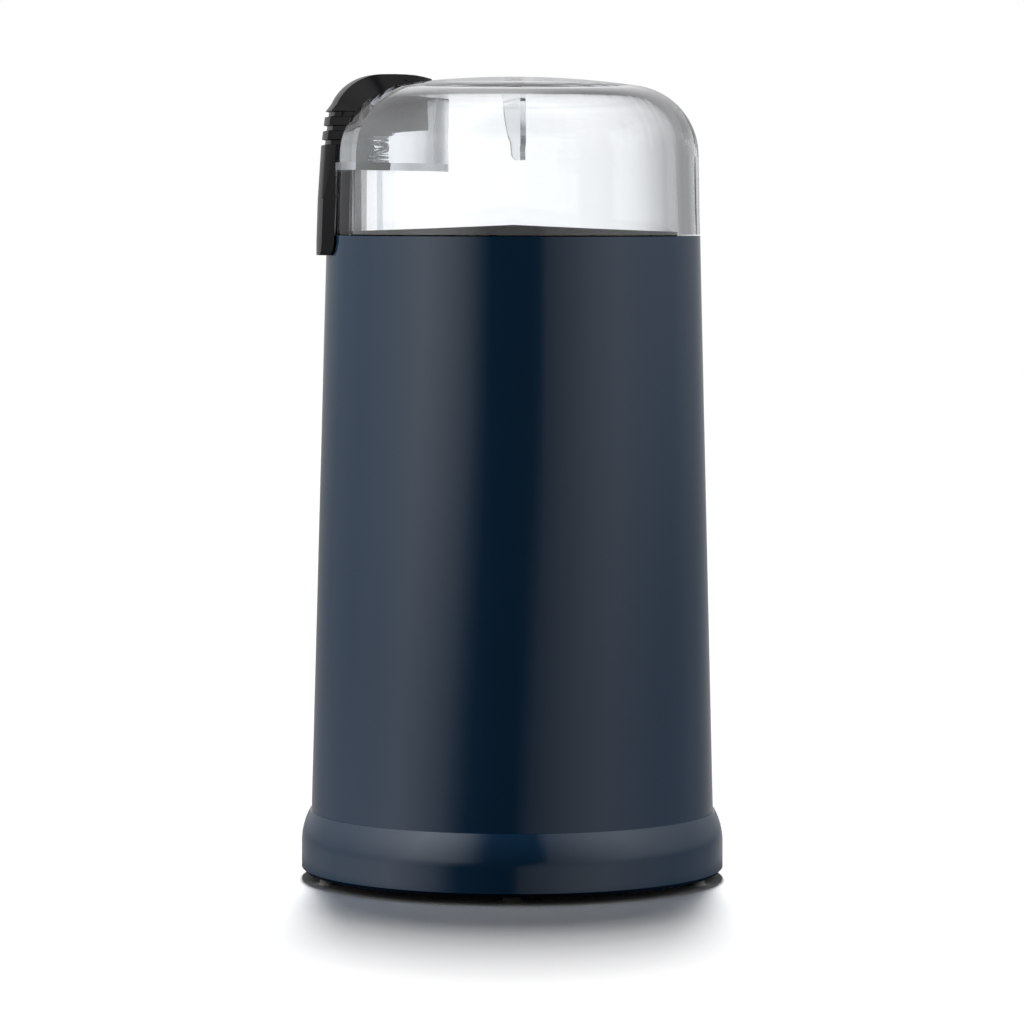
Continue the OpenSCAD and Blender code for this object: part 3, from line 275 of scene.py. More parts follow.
def slot_materials(s):
    """One material for each slot of the record, by the slot's name."""
    return {
        "navy_abs": navy_abs(s),
        "clear_san": clear_san(s),
        # Satin ABS: near black, with a fine even mould texture that spreads its highlights
        "black_abs": moulded("black_abs_satin_moulded", s.button.black, s.button.gloss, 0.5 * MM, 0.0015 * MM,
                             specular=0.09),
        # Stainless sheet, deep drawn and brushed round its axis: rings that stretch the highlight. They are 0.35 mm
        # apart, coarser than the real ones, so that they show
        "stainless": turned("stainless_spun_brushed", s.metal.stainless, s.metal.gloss, 0.35 * MM, 0.002 * MM),
        # Matt polypropylene from a spark eroded mould: dark brown black, and too dry to mirror the backdrop
        "collar_pp": moulded("brown_black_pp_matt_moulded", linear("#1b1917"), 0.75, 0.6 * MM, 0.01 * MM, 0.12, 1.49,
                             specular=0.05),
        # Moulded rubber: matt grey with a soft, dusty surface
        "foot_rubber": moulded("grey_rubber_moulded", s.casing.rubber, 0.75, 0.4 * MM, 0.012 * MM, 0.1, 1.52),
        # Moulded rubber, filled with carbon black: matt and nearly black
        "black_rubber": moulded("black_rubber_moulded", linear("#1d1d1d"), 0.7, 0.4 * MM, 0.01 * MM, 0.1, 1.52),
        # Cast silicone: waxy red brown
        "silicone": moulded("red_silicone_moulded", linear("#8a3a30"), 0.45, 0.8 * MM, 0.004 * MM, 0.08, 1.42),
        # Zinc plate over pressed steel: cool grey with faint rolling lines
        "zinc_steel": metal("zinc_plated_steel", s.metal.steel, 0.36, 0.5 * MM, (1, 1, 0.5), 0.002 * MM),
        # Drawn spring wire: bright, with lines along the wire too fine to draw singly
        "spring_steel": metal("spring_steel_drawn", linear("#c3c6ca"), 0.24, 0.2 * MM, (1, 1, 1), 0.001 * MM),
        # Ground shaft steel: fine lines round the shaft
        "shaft_steel": metal("shaft_steel_ground", linear("#b3b5b8"), 0.22, 0.3 * MM, (0.2, 0.2, 1), 0.001 * MM),
        # Stacked electrical steel sheets, 0.5 mm each, dark blue grey from their varnish
        "lamination": banded("electrical_steel_stacked", linear("#3d4145"), linear("#5b6066"), 0.5 * MM, 0.02 * MM,
                             {"Metallic": 1.0, "Roughness": 0.42}),
        # Enamelled copper wire wound in rows 0.5 mm apart: warm, glossy from its varnish
        "copper_wire": banded("enamelled_copper_wound", linear("#6e2f14"), linear("#b0602e"), 0.5 * MM, 0.12 * MM,
                              {"Metallic": 0.6, "Roughness": 0.32}),
        # Hard drawn copper bars, turned true: fine rings round the shaft
        "copper_bar": metal("copper_turned", s.metal.copper, 0.28, 0.4 * MM, (0.15, 0.15, 1), 0.003 * MM),
        # Sintered bronze, oil filled: dull gold brown with fine pores
        "bronze": metal("sintered_bronze", linear("#9a7440"), 0.5, 0.3 * MM, (1, 1, 1), 0.006 * MM),
        # Stamped brass sheet: yellow, with rolling lines
        "brass_sheet": metal("brass_stamped", linear("#c9a75c"), 0.32, 0.4 * MM, (1, 0.2, 1), 0.002 * MM),
        # Pressed carbon: dull black with a fine grain
        "carbon": moulded("carbon_pressed", linear("#232323"), 0.62, 0.25 * MM, 0.01 * MM, 0.15, 1.6),
        # Natural nylon: warm ivory and slightly waxy
        "ivory_pa": moulded("natural_nylon_moulded", linear("#d9d2bf"), 0.42, 0.7 * MM, 0.004 * MM, 0.04, 1.53),
        # Textured polypropylene: black with a fine spark eroded grain
        "cover_pp": moulded("black_pp_textured", s.casing.cover, 0.58, 0.45 * MM, 0.02 * MM, 0.1, 1.49),
        # Pressed phenolic: dark grey with a low sheen
        "phenolic": moulded("grey_phenolic_moulded", linear("#333539"), 0.48, 0.5 * MM, 0.006 * MM, 0.08, 1.6),
        # Moulded PBT: satin red
        "red_pbt": moulded("red_pbt_moulded", linear("#a82a22"), 0.35, 0.5 * MM, 0.003 * MM, 0.05, 1.55),
        # Dipped film capacitor: amber epoxy with a soft gloss
        "film_case": moulded("amber_epoxy_dipped", linear("#c98a32"), 0.3, 2.0 * MM, 0.03 * MM, 0.08, 1.55),
        # Fired ceramic paste: cream and dull
        "ceramic_body": moulded("cream_ceramic_fired", linear("#ddd6c4"), 0.5, 0.4 * MM, 0.008 * MM, 0.05, 1.6),
        # PVC jacket, extruded: dark red and satin
        "wire_jacket": moulded("red_pvc_extruded", linear("#8c2a24"), 0.38, 0.8 * MM, 0.003 * MM, 0.06, 1.53),
    }


FINISHES = {}


def finish(slot):
    """The material of a slot of the record. All of them are made at the first call."""
    if not FINISHES:
        FINISHES.update(slot_materials(bpy.context.scene.grinder))
    return FINISHES[slot]


def dress(nodes):
    """Puts each CAD node's slot material on it."""
    slots = {p["node"]: p["material_slot"] for p in frame["record"]["subparts"]}
    for name in nodes:
        for held in frame["nodes"][name].material_slots:
            held.material = finish(slots[name])


# Mesh helpers

def piece(name, mesh, slot, body, *replaced):
    """A finished object from a mesh, with its slot's material, riding on a body in place of CAD nodes."""
    made = bpy.data.objects.new(name, mesh)
    bpy.context.scene.collection.objects.link(made)
    mesh.materials.append(finish(slot))
    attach(made, body)
    if replaced:
        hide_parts(*replaced)
    return made


def sweep(bm, path, radius, sides):
    """Round tube along a path of points, with flat ends, kept free of twist."""
    tangent = (path[1] - path[0]).normalized()
    side = tangent.orthogonal().normalized()
    rings = []
    for i, point in enumerate(path):
        ahead = path[min(i + 1, len(path) - 1)] - path[max(i - 1, 0)]
        ahead.normalize()
        side = (side - ahead * side.dot(ahead)).normalized()
        other = ahead.cross(side)
        rings.append([bm.verts.new(point + (side * math.cos(a) + other * math.sin(a)) * radius)
                      for a in (2 * math.pi * k / sides for k in range(sides))])
    for low, high in zip(rings, rings[1:]):
        for k in range(sides):
            bm.faces.new((low[k], low[(k + 1) % sides], high[(k + 1) % sides], high[k]))
    bm.faces.new(rings[0][::-1])
    bm.faces.new(rings[-1])


def mesh_from(bm, name, angle=None):
    """Mesh from a finished bmesh, with smooth shading between faces that meet below the angle in degrees."""
    mesh = bpy.data.meshes.new(name)
    bm.to_mesh(mesh)
    bm.free()
    if angle:
        mesh.shade_smooth()
        mesh.set_sharp_from_angle(angle=math.radians(angle))
    return mesh


# Points on each turn of a spring, sides of its wire, and the angle in degrees that its shading smooths
COIL_STEPS, WIRE_SIDES, WIRE_SMOOTH = 28, 8, 50


def coil_spring(name, node, body, axis, wire, turns):
    """Helix with closed end turns, in the box of its CAD node."""
    low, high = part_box(node)
    middle = (low + high) / 2
    right = Vector((1, 0, 0))
    other = Vector((0, 1, 0)) if axis.z else Vector((0, 0, 1))
    whole = abs((high - low).dot(axis))
    radius = (high.x - low.x) / 2 - wire / 2
    base = middle - axis * (whole / 2 - wire / 2)
    rise = whole - wire
    # Share of the rise that a closed end turn takes, which is half a wire
    ends = wire / 2 / rise
    path = []
    for i in range((turns + 2) * COIL_STEPS + 1):
        t = i / COIL_STEPS
        if t < 1:
            share = ends * t
        elif t > turns + 1:
            share = 1 - ends * (turns + 2 - t)
        else:
            share = ends + (1 - 2 * ends) * (t - 1) / turns
        a = 2 * math.pi * t
        path.append(base + axis * (rise * share) + (right * math.cos(a) + other * math.sin(a)) * radius)
    bm = bmesh.new()
    sweep(bm, path, wire / 2, WIRE_SIDES)
    made = piece(name, mesh_from(bm, name, WIRE_SMOOTH), "spring_steel", body, node)
    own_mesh(made)


# Operators

class GRINDER_OT_camera(bpy.types.Operator):
    """Add the camera at the height of the lid"""
    bl_idname = "grinder.camera"
    bl_label = "Camera"

    def execute(self, context):
        s = context.scene.grinder.stage
        data = bpy.data.cameras.new("camera")
        data.sensor_width = 36.0
        data.lens = s.lens
        made = bpy.data.objects.new("camera", data)
        made.location = (0, -s.distance, s.eye)
        made.rotation_mode = "XYZ"
        made.rotation_euler = (math.pi / 2 - s.pitch, s.roll, s.yaw)
        context.scene.collection.objects.link(made)
        context.scene.camera = made
        return {"FINISHED"}


class GRINDER_OT_casing(bpy.types.Operator):
    """Finish the casing, the base, its cover, feet and screws"""
    bl_idname = "grinder.casing"
    bl_label = "Casing"

    def execute(self, context):
        dress(["housing", "base_ring", "bottom_cover", "feet", "base_screws", "cover_screws"])
        return {"FINISHED"}


class GRINDER_OT_bowl(bpy.types.Operator):
    """Finish the bowl, its collar, bush, nut and seal"""
    bl_idname = "grinder.bowl"
    bl_label = "Bowl"

    def execute(self, context):
        dress(["bowl", "bowl_collar", "bowl_bush", "bush_nut", "shaft_seal"])
        return {"FINISHED"}


class GRINDER_OT_lid(bpy.types.Operator):
    """Finish the thick clear lid"""
    bl_idname = "grinder.lid"
    bl_label = "Lid"

    def execute(self, context):
        dress(["lid"])
        return {"FINISHED"}


# Push button, in millimetres from the shaft's axis and from the surface that the feet stand on

# The paddle down the outside: heights of its ends and its step, radii of its faces, and how its top leans in
PAD_LOW, PAD_STEP, PAD_TOP, PAD_LEAN = 139.0, 151.4, 163.1, 0.13
PAD_R, PAD_STEP_R, PAD_TOP_R, PAD_IN_R, UPPER_IN_R = 43.8, 43.5, 42.75, 42.11, 41.8
# Its rounded lower end: height above it, and how much narrower its face and its sides are there
PAD_END = ((0, 3, 3), (1, 0.8, 0.9), (3, 0, 0))
# Half widths of the whole button, the paddle's face and the crown between its creases, and the height over
# which the face narrows from one to the other
HALF, PAD_HALF, CREASE_HALF, NARROWING = 15.0, 13.9, 11.7, 12
# Thickness of the shell, depth of the skirt round it, and the height from which they part
SHELL, SKIRT, SKIRT_LOW = 1.8, 4.1, 163.2
# The skirt's wall, and how far the shell's inside stays off it
SKIRT_WALL, INSIDE_OFF = 1.4, 0.6
# Where the round nose narrows the button: the most that the face takes of the half width, the least that the space
# inside the skirt takes of it, and the least that the shell's inside takes of that space
NOSE_FACE, NOSE_SPACE, NOSE_INSIDE = 0.78, 0.5, 0.6
# Grip grooves: height of the lowest, the plastic behind them, and their profile as the distance past a groove's
# middle, in widths, with the share of the depth there
GROOVE_Z, GROOVE_PITCH, GROOVE_WIDTH, GROOVE_DEPTH, GROOVE_WALL, GROOVES = 163.85, 3.1, 1.3, 0.8, 1.1, 3
GROOVE_STEPS = ((-0.5, 0), (-0.35, 1), (0.35, 1), (0.5, 0))
# Outer curve of the lid's shoulder, which the button's inside clears
SHOULDER_X, SHOULDER_R, SHOULDER_Z, SHOULDER_GAP = 25.45, 15.6, 161.1, 0.8
# The knuckle's curve from the paddle to the crest, from 24 degrees to straight up
KNUCKLE_R, KNUCKLE_X, KNUCKLE_Z, KNUCKLE_FROM, KNUCKLE_STEPS = 10.8, 30.6, 168.0, 24, 26
# Height of the crest, radius at which the tongue starts to narrow, and the middle of its round nose
CREST, TONGUE_R = 178.8, 18.0
NOSE_X = TONGUE_R + HALF
# Push rod, spring seat and the ribs between the two
ROD_X, ROD_R, ROD_LOW, ROD_GUIDED, ROD_TOP, ROD_SIDES = -37.6, 1.2, 144.2, 159.2, 174.4, 20
SEAT_X, SEAT_Z, SEAT_HALF, SEAT_THICK, SEAT_REACH = -29.6, 164.0, 3.4, 1.4, 10.2
RIBS, RIB_HALF = (-9.4, 0, 9.4), 0.8
# How a rib stays inside the nose, and how far its corners lie above the seat or below the crest
RIB_INSET, RIB_SPREAD, RIB_GAP = 0.5, 1.15, 0.2
RIB_FOOT, RIB_TIP_TOP, RIB_KNUCKLE_TOP, RIB_SEAT_TOP = 1.2, 1.2, 1.0, 2.2
# Places across each section, steps between two rows of the tongue, halvings that find the nose, and the angle in
# degrees below which faces blend
ACROSS, TONGUE_STEPS, HALVINGS, BLEND = 12, 5, 16, 24
# Along the tongue: distance past its tip, and depths of its top, shell and skirt below the crest
TONGUE = ((12.6, 0, 1.8, 4.1), (9.6, -0.05, 1.75, 3.5), (6.6, 0, 1.6, 3.1), (4, 0.15, 1.6, 2.7),
          (2, 0.45, 1.6, 2.3), (0.8, 0.7, 1.55, 1.9), (0.2, 0.85, 1.4, 1.5))


def button_stations():
    """Sections down the button: outer face, shell and skirt as (radius, height), then both half widths."""
    found = [((PAD_R, PAD_LOW + up), (PAD_IN_R, PAD_LOW + up), (PAD_IN_R, PAD_LOW + up),
              PAD_HALF - face, HALF - side) for up, face, side in PAD_END]
    found.append(((PAD_STEP_R, PAD_STEP), (UPPER_IN_R, PAD_STEP), (UPPER_IN_R, PAD_STEP), PAD_HALF, HALF))
    for i in range(GROOVES):
        for offset, cut in GROOVE_STEPS:
            z = GROOVE_Z + i * GROOVE_PITCH + offset * GROOVE_WIDTH
            r = PAD_TOP_R - (z - PAD_TOP) * PAD_LEAN
            dome = SHOULDER_X + math.sqrt(SHOULDER_R ** 2 - (z - SHOULDER_Z) ** 2)
            shell, skirt = UPPER_IN_R, UPPER_IN_R
            if z > SKIRT_LOW:
                shell, skirt = r - GROOVE_DEPTH - GROOVE_WALL, dome - SHOULDER_GAP
            found.append(((r - GROOVE_DEPTH * cut, z), (shell, z), (skirt, z),
                          PAD_HALF - (z - PAD_TOP) * (PAD_HALF - CREASE_HALF) / NARROWING, HALF))
    for i in range(KNUCKLE_STEPS + 1):
        a = math.radians(KNUCKLE_FROM + (90 - KNUCKLE_FROM) * i / KNUCKLE_STEPS)
        arc = [(KNUCKLE_X + (KNUCKLE_R - t) * math.cos(a), KNUCKLE_Z + (KNUCKLE_R - t) * math.sin(a))
               for t in (0, SHELL, SKIRT)]
        found.append((*arc, CREASE_HALF, nose_half(arc[2])))
    for near, far in zip(TONGUE, TONGUE[1:]):
        for k in range(1, TONGUE_STEPS + 1):
            past, top, shell, skirt = (a + (b - a) * k / TONGUE_STEPS for a, b in zip(near, far))
            x = TONGUE_R + past
            found.append(((x, CREST - top), (x, CREST - shell), (x, CREST - skirt), CREASE_HALF,
                          nose_half((x, CREST - skirt))))
    return found


def nose_half(point):
    """Half width at which the skirt meets the round nose of the button, seen from above."""
    low, high = 0.0, HALF
    for _ in range(HALVINGS):
        y = (low + high) / 2
        x = NOSE_X + on_lid(point, y).x / MM
        if x < 0 or math.hypot(x, y) < HALF:
            low = y
        else:
            high = y
    return low


def on_lid(point, y):
    """Place at that radius and height, off to the side by y, straighter towards the tongue's tip."""
    bend = min(1, max(0, (point[0] - TONGUE_R) / (KNUCKLE_X - TONGUE_R)))
    x = -point[0] + bend * (point[0] - math.sqrt(max(1, point[0] ** 2 - y * y)))
    return Vector((x, y, point[1])) * MM


def plate(bm, outline, y0, y1):
    """Plate with that outline in X and Z, between two values of Y."""
    front = [bm.verts.new(Vector((x, y0, z)) * MM) for x, z in outline]
    back = [bm.verts.new(Vector((x, y1, z)) * MM) for x, z in outline]
    bm.faces.new(front)
    bm.faces.new(back[::-1])
    for i in range(len(outline)):
        j = (i + 1) % len(outline)
        bm.faces.new((front[j], front[i], back[i], back[j]))


def button_shell(bm):
    """The button's hollow shell, lofted through its sections and closed at both ends."""
    rings = []
    for outer, shell, skirt, wide, half in button_stations():
        # Half widths of the outer face, of the space inside the skirt, and of the shell's inner face
        wide = min(wide, half * NOSE_FACE)
        space = max(half - SKIRT_WALL, half * NOSE_SPACE)
        inner = max(space - INSIDE_OFF, space * NOSE_INSIDE)
        places = [on_lid(outer, wide * (2 * k / ACROSS - 1)) for k in range(ACROSS + 1)]
        places += [on_lid(skirt, half), on_lid(skirt, space)]
        places += [on_lid(shell, inner * (1 - 2 * k / ACROSS)) for k in range(ACROSS + 1)]
        places += [on_lid(skirt, -space), on_lid(skirt, -half)]
        rings.append([bm.verts.new(p) for p in places])
    count = len(rings[0])
    for low, high in zip(rings, rings[1:]):
        for k in range(count):
            bm.faces.new((low[k], low[(k + 1) % count], high[(k + 1) % count], high[k]))
    for ring in (rings[0], rings[-1]):
        for k in range(ACROSS):
            far = 2 * ACROSS + 2 - k
            bm.faces.new((ring[k], ring[k + 1], ring[far], ring[far + 1]))
        bm.faces.new(ring[ACROSS:ACROSS + 4])
        bm.faces.new((ring[0], *ring[-3:]))


def button_inside(bm):
    """The push rod, the ribs that end at the round nose, and the spring seat."""
    sweep(bm, [Vector((ROD_X, 0, z)) * MM for z in (ROD_LOW, ROD_GUIDED, ROD_TOP)], ROD_R * MM, ROD_SIDES)
    left, right = SEAT_X - SEAT_HALF, SEAT_X + SEAT_HALF
    for y in RIBS:
        end = math.sqrt((HALF - RIB_INSET) ** 2 - (abs(y) * RIB_SPREAD) ** 2) - NOSE_X - RIB_GAP
        rib = [(left, SEAT_Z), (end, SEAT_Z + RIB_FOOT), (end, CREST - RIB_TIP_TOP),
               (RIB_INSET - KNUCKLE_X, CREST - RIB_KNUCKLE_TOP), (left, CREST - RIB_SEAT_TOP)]
        plate(bm, rib, y - RIB_HALF, y + RIB_HALF)
    seat = [(left, SEAT_Z), (right, SEAT_Z), (right, SEAT_Z + SEAT_THICK), (left, SEAT_Z + SEAT_THICK)]
    plate(bm, seat, -SEAT_REACH, SEAT_REACH)


class GRINDER_OT_button(bpy.types.Operator):
    """Build the grooved push button and its return spring"""
    bl_idname = "grinder.button"
    bl_label = "Push button"

    def execute(self, context):
        s = context.scene.grinder.button
        bm = bmesh.new()
        button_shell(bm)
        button_inside(bm)
        bmesh.ops.recalc_face_normals(bm, faces=bm.faces)
        made = piece("push_button", mesh_from(bm, "push_button", BLEND), "black_abs", "button_body", "button")
        soft = made.modifiers.new("edges", "BEVEL")
        soft.width, soft.segments, soft.limit_method = s.edge, 2, "ANGLE"
        soft.angle_limit, soft.harden_normals = math.radians(BLEND), True
        coil_spring("return_spring", "button_spring", "lid_body", Vector((0, 0, 1)),
                    wire=s.spring_wire, turns=4)
        return {"FINISHED"}


class GRINDER_OT_blade(bpy.types.Operator):
    """Finish the blade, its hub, nut and washers"""
    bl_idname = "grinder.blade"
    bl_label = "Blade"

    def execute(self, context):
        dress(["blade", "blade_hub", "blade_nut", "thrust_washers", "shaft"])
        return {"FINISHED"}


class GRINDER_OT_motor(bpy.types.Operator):
    """Finish the motor, its fan, brackets, bearings, bolts and brushes"""
    bl_idname = "grinder.motor"
    bl_label = "Motor"

    def execute(self, context):
        dress(["fan", "armature_core", "armature_windings", "commutator", "field_core", "field_coils",
               "upper_bracket", "lower_bracket", "upper_bearing", "lower_bearing", "motor_bolts", "motor_nuts",
               "motor_mounts", "mount_screws", "brush_holders", "brush_left", "brush_right"])
        for side, out in (("left", 1), ("right", -1)):
            coil_spring("brush_coil_" + side, "brush_spring_" + side, "base_body",
                        Vector((0, out, 0)), wire=0.35 * MM, turns=6)
        return {"FINISHED"}


class GRINDER_OT_switch(bpy.types.Operator):
    """Finish the switch, its rod, lever and plunger, and build the rod's spring"""
    bl_idname = "grinder.switch"
    bl_label = "Switch"

    def execute(self, context):
        dress(["switch_rod", "microswitch", "switch_lever", "switch_plunger", "switch_screws"])
        coil_spring("rod_coil", "rod_spring", "base_body", Vector((0, 0, 1)),
                    wire=0.5 * MM, turns=6)
        return {"FINISHED"}


class GRINDER_OT_wiring(bpy.types.Operator):
    """Finish the fuse, the capacitor, the wires and the cord's entry"""
    bl_idname = "grinder.wiring"
    bl_label = "Wiring"

    def execute(self, context):
        dress(["thermal_fuse", "capacitor", "cord_gland", "cord_clamp", "clamp_screws", "lead_wires"])
        return {"FINISHED"}


# Studio. Point that the lamps face, reach of the floor, and the distances from the axis between which the floor
# fades out of reflections
AIM = Vector((0, 0, 0.07))
FLOOR_REACH = 3.0
FLOOR_NEAR, FLOOR_FAR = 0.049, 0.072
# The side boxes: place and watts of each, and the width and height of both
SIDE_BOXES = (("left_box", (-0.95, -0.2, 0.62), 19), ("right_box", (0.95, -0.25, 0.62), 13.5))
SIDE_WIDE, SIDE_HIGH = 0.5, 0.8
# The overhead box: rise of each of its lights in degrees, the strength and distance of each, and the angle it fills
BOX_RISES, BOX_STRENGTH, BOX_AWAY, BOX_ANGLE = (76, 71, 66, 61, 56), 0.21, 2, 6.5
# How far the reflected boxes lean sideways, as a share of a full turn, between two heights of the way they lie
LEAN_LOW, LEAN_HIGH, LEAN = -0.09, 0.0105, 0.0435
# Brightness as (degrees, level). Angles round the object start at the camera's side, and rise is from the horizon
GLOSS_ROUND = [(-180, 0.5), (-165, 0.45), (-150, 0.4), (-127, 0.42), (-100, 0.68), (-75, 1.1), (-55, 1.5),
               (-40, 1.15), (-29, 0.75), (-19, 0.18), (-14, 0.0), (16.5, 0.0), (19, 0.26), (32, 0.5), (50, 0.82),
               (68, 0.95), (90, 0.7), (115, 0.45), (150, 0.36), (165, 0.42), (180, 0.5)]
GLOSS_RISE = [(-90, 0.3), (-16, 0.75), (-7, 0.75), (-3.5, 0.66), (0.6, 1.0), (3, 1.1), (30, 1.7), (60, 2.0),
              (90, 2.0)]
CLEAR_ROUND = [(-180, 1.3), (-163, 1.25), (-152, 0.7), (-125, 0.65), (-95, 1.2), (95, 1.1), (120, 0.55),
               (140, 0.33), (153, 0.33), (162, 0.47), (167, 0.7), (171, 0.92), (175, 1.12), (180, 1.3)]
CLEAR_RISE = [(-90, 1.0), (8, 1.0), (14, 0.95), (23, 0.7), (33, 0.46), (41, 0.3), (50, 0.3), (70, 0.45), (90, 0.5)]


def light(name, kind, place, energy):
    """Light that faces the grinder, without a mirror image of its own."""
    made = bpy.data.objects.new(name, bpy.data.lights.new(name, kind))
    made.data.energy = energy
    made.location = place
    made.rotation_mode = "QUATERNION"
    made.rotation_quaternion = (AIM - Vector(place)).to_track_quat("-Z", "Y")
    made.visible_glossy = made.visible_transmission = False
    bpy.context.scene.collection.objects.link(made)
    return made


def side_box(name, place, energy, floor):
    """Soft box beside the grinder, whose light leaves out the floor."""
    made = light(name, "AREA", place, energy)
    made.data.shape, made.data.size, made.data.size_y = "RECTANGLE", SIDE_WIDE, SIDE_HIGH
    shaded = bpy.data.collections.new(name + "_shade")
    shaded.objects.link(floor)
    shaded.collection_objects[0].light_linking.link_state = "EXCLUDE"
    made.light_linking.receiver_collection = shaded


def overhead_box():
    """Long soft box from above to behind, as a row of distant lights that reach the whole floor evenly."""
    for i, rise in enumerate(BOX_RISES):
        angle = math.radians(rise)
        place = (0, BOX_AWAY * math.cos(angle), AIM.z + BOX_AWAY * math.sin(angle))
        light("overhead_%d" % i, "SUN", place, BOX_STRENGTH).data.angle = math.radians(BOX_ANGLE)


def levelled(stops, place_of):
    """Stops of a colour ramp from (degrees, brightness), as shares of their peak, and the peak."""
    peak = max(level for _, level in stops)
    return [(place_of(degree), (level / peak,) * 3 + (1,)) for degree, level in stops], peak


def surround(tree, turn, lift, round_stops, rise_stops):
    """Background whose brightness follows the angle round the object and the rise above the horizon."""
    round_stops, round_peak = levelled(round_stops, lambda a: (a + 180) / 360)
    rise_stops, rise_peak = levelled(rise_stops, lambda a: (math.sin(math.radians(a)) + 1) / 2)
    sides = add(tree, "ValToRGB", {"stops": round_stops}, {"Fac": turn})
    rise = add(tree, "ValToRGB", {"stops": rise_stops}, {"Fac": lift})
    strength = add(tree, "Math", {"operation": "MULTIPLY", 1: round_peak * rise_peak}, {0: rise.outputs["Color"]})
    return add(tree, "Background", links={"Color": sides.outputs["Color"], "Strength": strength.outputs[0]})


def studio_world(s):
    """White to the camera, soft boxes with a gap between them to gloss, a bright backdrop through the lid."""
    world = bpy.data.worlds.new("studio")
    bpy.context.scene.world = world
    world.use_nodes = True
    tree = world.node_tree
    tree.nodes.clear()
    way = add(tree, "SeparateXYZ", links={0: add(tree, "TexCoord").outputs["Generated"]})
    front = add(tree, "Math", {"operation": "MULTIPLY", 1: -1.0}, {0: way.outputs["Y"]})
    angle = add(tree, "Math", {"operation": "ARCTAN2"}, {0: way.outputs["X"], 1: front.outputs[0]})
    turn = add(tree, "MapRange", {"From Min": -math.pi, "From Max": math.pi}, {"Value": angle.outputs[0]})
    lift = add(tree, "MapRange", {"From Min": -1.0, "From Max": 1.0}, {"Value": way.outputs["Z"]})
    # The boxes lean a little, so the dark gap between them drifts sideways down the casing
    lean = add(tree, "MapRange", {"From Min": LEAN_LOW, "From Max": LEAN_HIGH, "To Min": LEAN, "To Max": 0.0},
               {"Value": way.outputs["Z"]})
    leant = add(tree, "Math", links={0: turn.outputs[0], 1: lean.outputs[0]})
    gloss = surround(tree, leant.outputs[0], lift.outputs[0], GLOSS_ROUND, GLOSS_RISE)
    through = surround(tree, turn.outputs[0], lift.outputs[0], CLEAR_ROUND, CLEAR_RISE)
    fill = add(tree, "Background", {"Color": linear("#ffffff"), "Strength": s.fill})
    white = add(tree, "Background", {"Color": linear("#ffffff"), "Strength": 1.0})
    path = add(tree, "LightPath").outputs
    shiny = add(tree, "MixShader", links={0: path["Is Glossy Ray"], 1: fill.outputs[0], 2: gloss.outputs[0]})
    clear = add(tree, "MixShader", links={0: path["Is Transmission Ray"], 1: shiny.outputs[0], 2: through.outputs[0]})
    seen = add(tree, "MixShader", links={0: path["Is Camera Ray"], 1: clear.outputs[0], 2: white.outputs[0]})
    add(tree, "OutputWorld", links={"Surface": seen.outputs[0]})


def floor_paper(s):
    """Matte paper that is white where no shadow falls, and sends less light than that back to the grinder."""
    material = bpy.data.materials.new("white_paper_floor")
    material.use_nodes = True
    tree = material.node_tree
    tree.nodes.clear()
    seen = add(tree, "BsdfDiffuse", {"Color": (s.floor_gain, s.floor_gain, s.floor_gain, 1)})
    paper = add(tree, "BsdfDiffuse", {"Color": s.floor})
    path = add(tree, "LightPath").outputs
    back = add(tree, "Math", {"operation": "MAXIMUM"}, {0: path["Is Diffuse Ray"], 1: path["Is Glossy Ray"]})
    top = add(tree, "MixShader", links={0: back.outputs[0], 1: seen.outputs[0], 2: paper.outputs[0]})
    # Gloss looks through the far floor to the studio, so the soft boxes run down the casing
    away = add(tree, "VectorMath", {"operation": "LENGTH"}, {0: add(tree, "TexCoord").outputs["Object"]})
    far = add(tree, "MapRange", {
        "interpolation_type": "SMOOTHSTEP", "From Min": FLOOR_NEAR, "From Max": FLOOR_FAR},
        {"Value": away.outputs["Value"]})
    share = add(tree, "Math", {"operation": "MULTIPLY"}, {0: far.outputs["Result"], 1: path["Is Glossy Ray"]})
    gone = add(tree, "BsdfTransparent").outputs[0]
    top = add(tree, "MixShader", links={0: share.outputs[0], 1: top.outputs[0], 2: gone})
    # From below it doesn't show at all
    below = add(tree, "NewGeometry").outputs["Backfacing"]
    whole = add(tree, "MixShader", links={0: below, 1: top.outputs[0], 2: gone})
    add(tree, "OutputMaterial", links={"Surface": whole.outputs[0]})
    return material


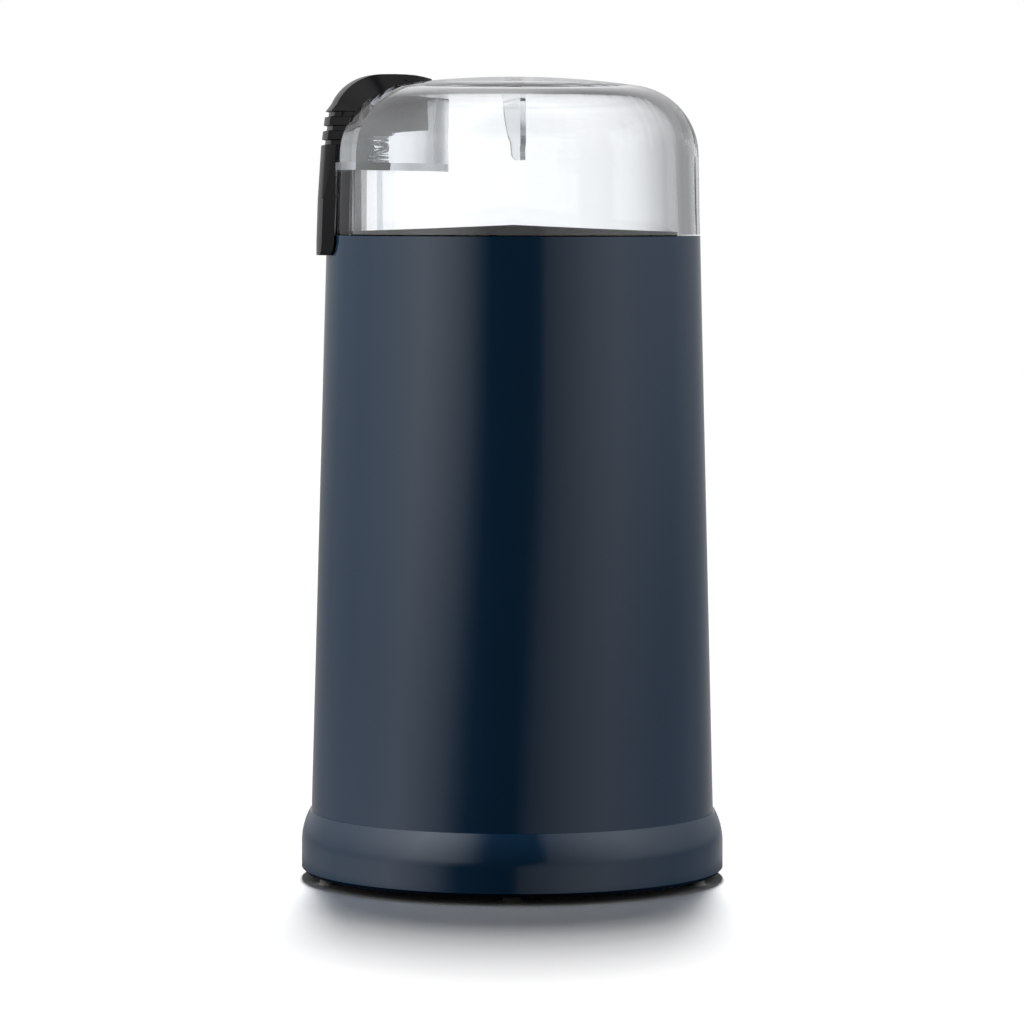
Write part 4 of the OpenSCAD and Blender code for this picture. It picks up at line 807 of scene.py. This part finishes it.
class GRINDER_OT_stage(bpy.types.Operator):
    """Add the floor, the lamps and the studio around them"""
    bl_idname = "grinder.stage"
    bl_label = "Stage"

    def execute(self, context):
        s = context.scene.grinder.stage
        bm = bmesh.new()
        bmesh.ops.create_grid(bm, x_segments=8, y_segments=8, size=FLOOR_REACH)
        mesh = mesh_from(bm, "floor")
        mesh.materials.append(floor_paper(s))
        floor = bpy.data.objects.new("floor", mesh)
        context.scene.collection.objects.link(floor)
        for name, place, watts in SIDE_BOXES:
            side_box(name, place, watts, floor)
        overhead_box()
        studio_world(s)
        context.scene.view_settings.view_transform = "Standard"
        # Light runs on inside the thick dome for many bounces before it comes out
        paths = context.scene.cycles
        paths.max_bounces, paths.glossy_bounces, paths.transmission_bounces = 28, 20, 20
        return {"FINISHED"}


STEPS = (GRINDER_OT_camera, GRINDER_OT_casing, GRINDER_OT_bowl, GRINDER_OT_lid, GRINDER_OT_button,
         GRINDER_OT_blade, GRINDER_OT_motor, GRINDER_OT_switch, GRINDER_OT_wiring, GRINDER_OT_stage)


class GRINDER_PT_panel(bpy.types.Panel):
    """Lists the grinder's settings and steps"""
    bl_idname = "GRINDER_PT_panel"
    bl_label = "Spice Grinder"
    bl_space_type = "VIEW_3D"
    bl_region_type = "UI"
    bl_category = "Grinder"

    def draw(self, context):
        for group in ("casing", "lid", "button", "metal", "stage"):
            settings = getattr(context.scene.grinder, group)
            box = self.layout.box()
            box.label(text=group.capitalize())
            for name in settings.__annotations__:
                box.prop(settings, name)
        for step in STEPS:
            self.layout.operator(step.bl_idname)


CLASSES = (CasingSettings, LidSettings, ButtonSettings, MetalSettings, StageSettings, GrinderSettings,
           *STEPS, GRINDER_PT_panel)


def register():
    for each in CLASSES:
        bpy.utils.register_class(each)
    bpy.types.Scene.grinder = bpy.props.PointerProperty(type=GrinderSettings)


def unregister():
    del bpy.types.Scene.grinder
    for each in reversed(CLASSES):
        bpy.utils.unregister_class(each)


def main():
    """Runs the steps in order."""
    register()
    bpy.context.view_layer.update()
    for step in STEPS:
        group, name = step.bl_idname.split(".")
        getattr(getattr(bpy.ops, group), name)()
    bpy.context.view_layer.update()


if __name__ == "__main__":
    main()
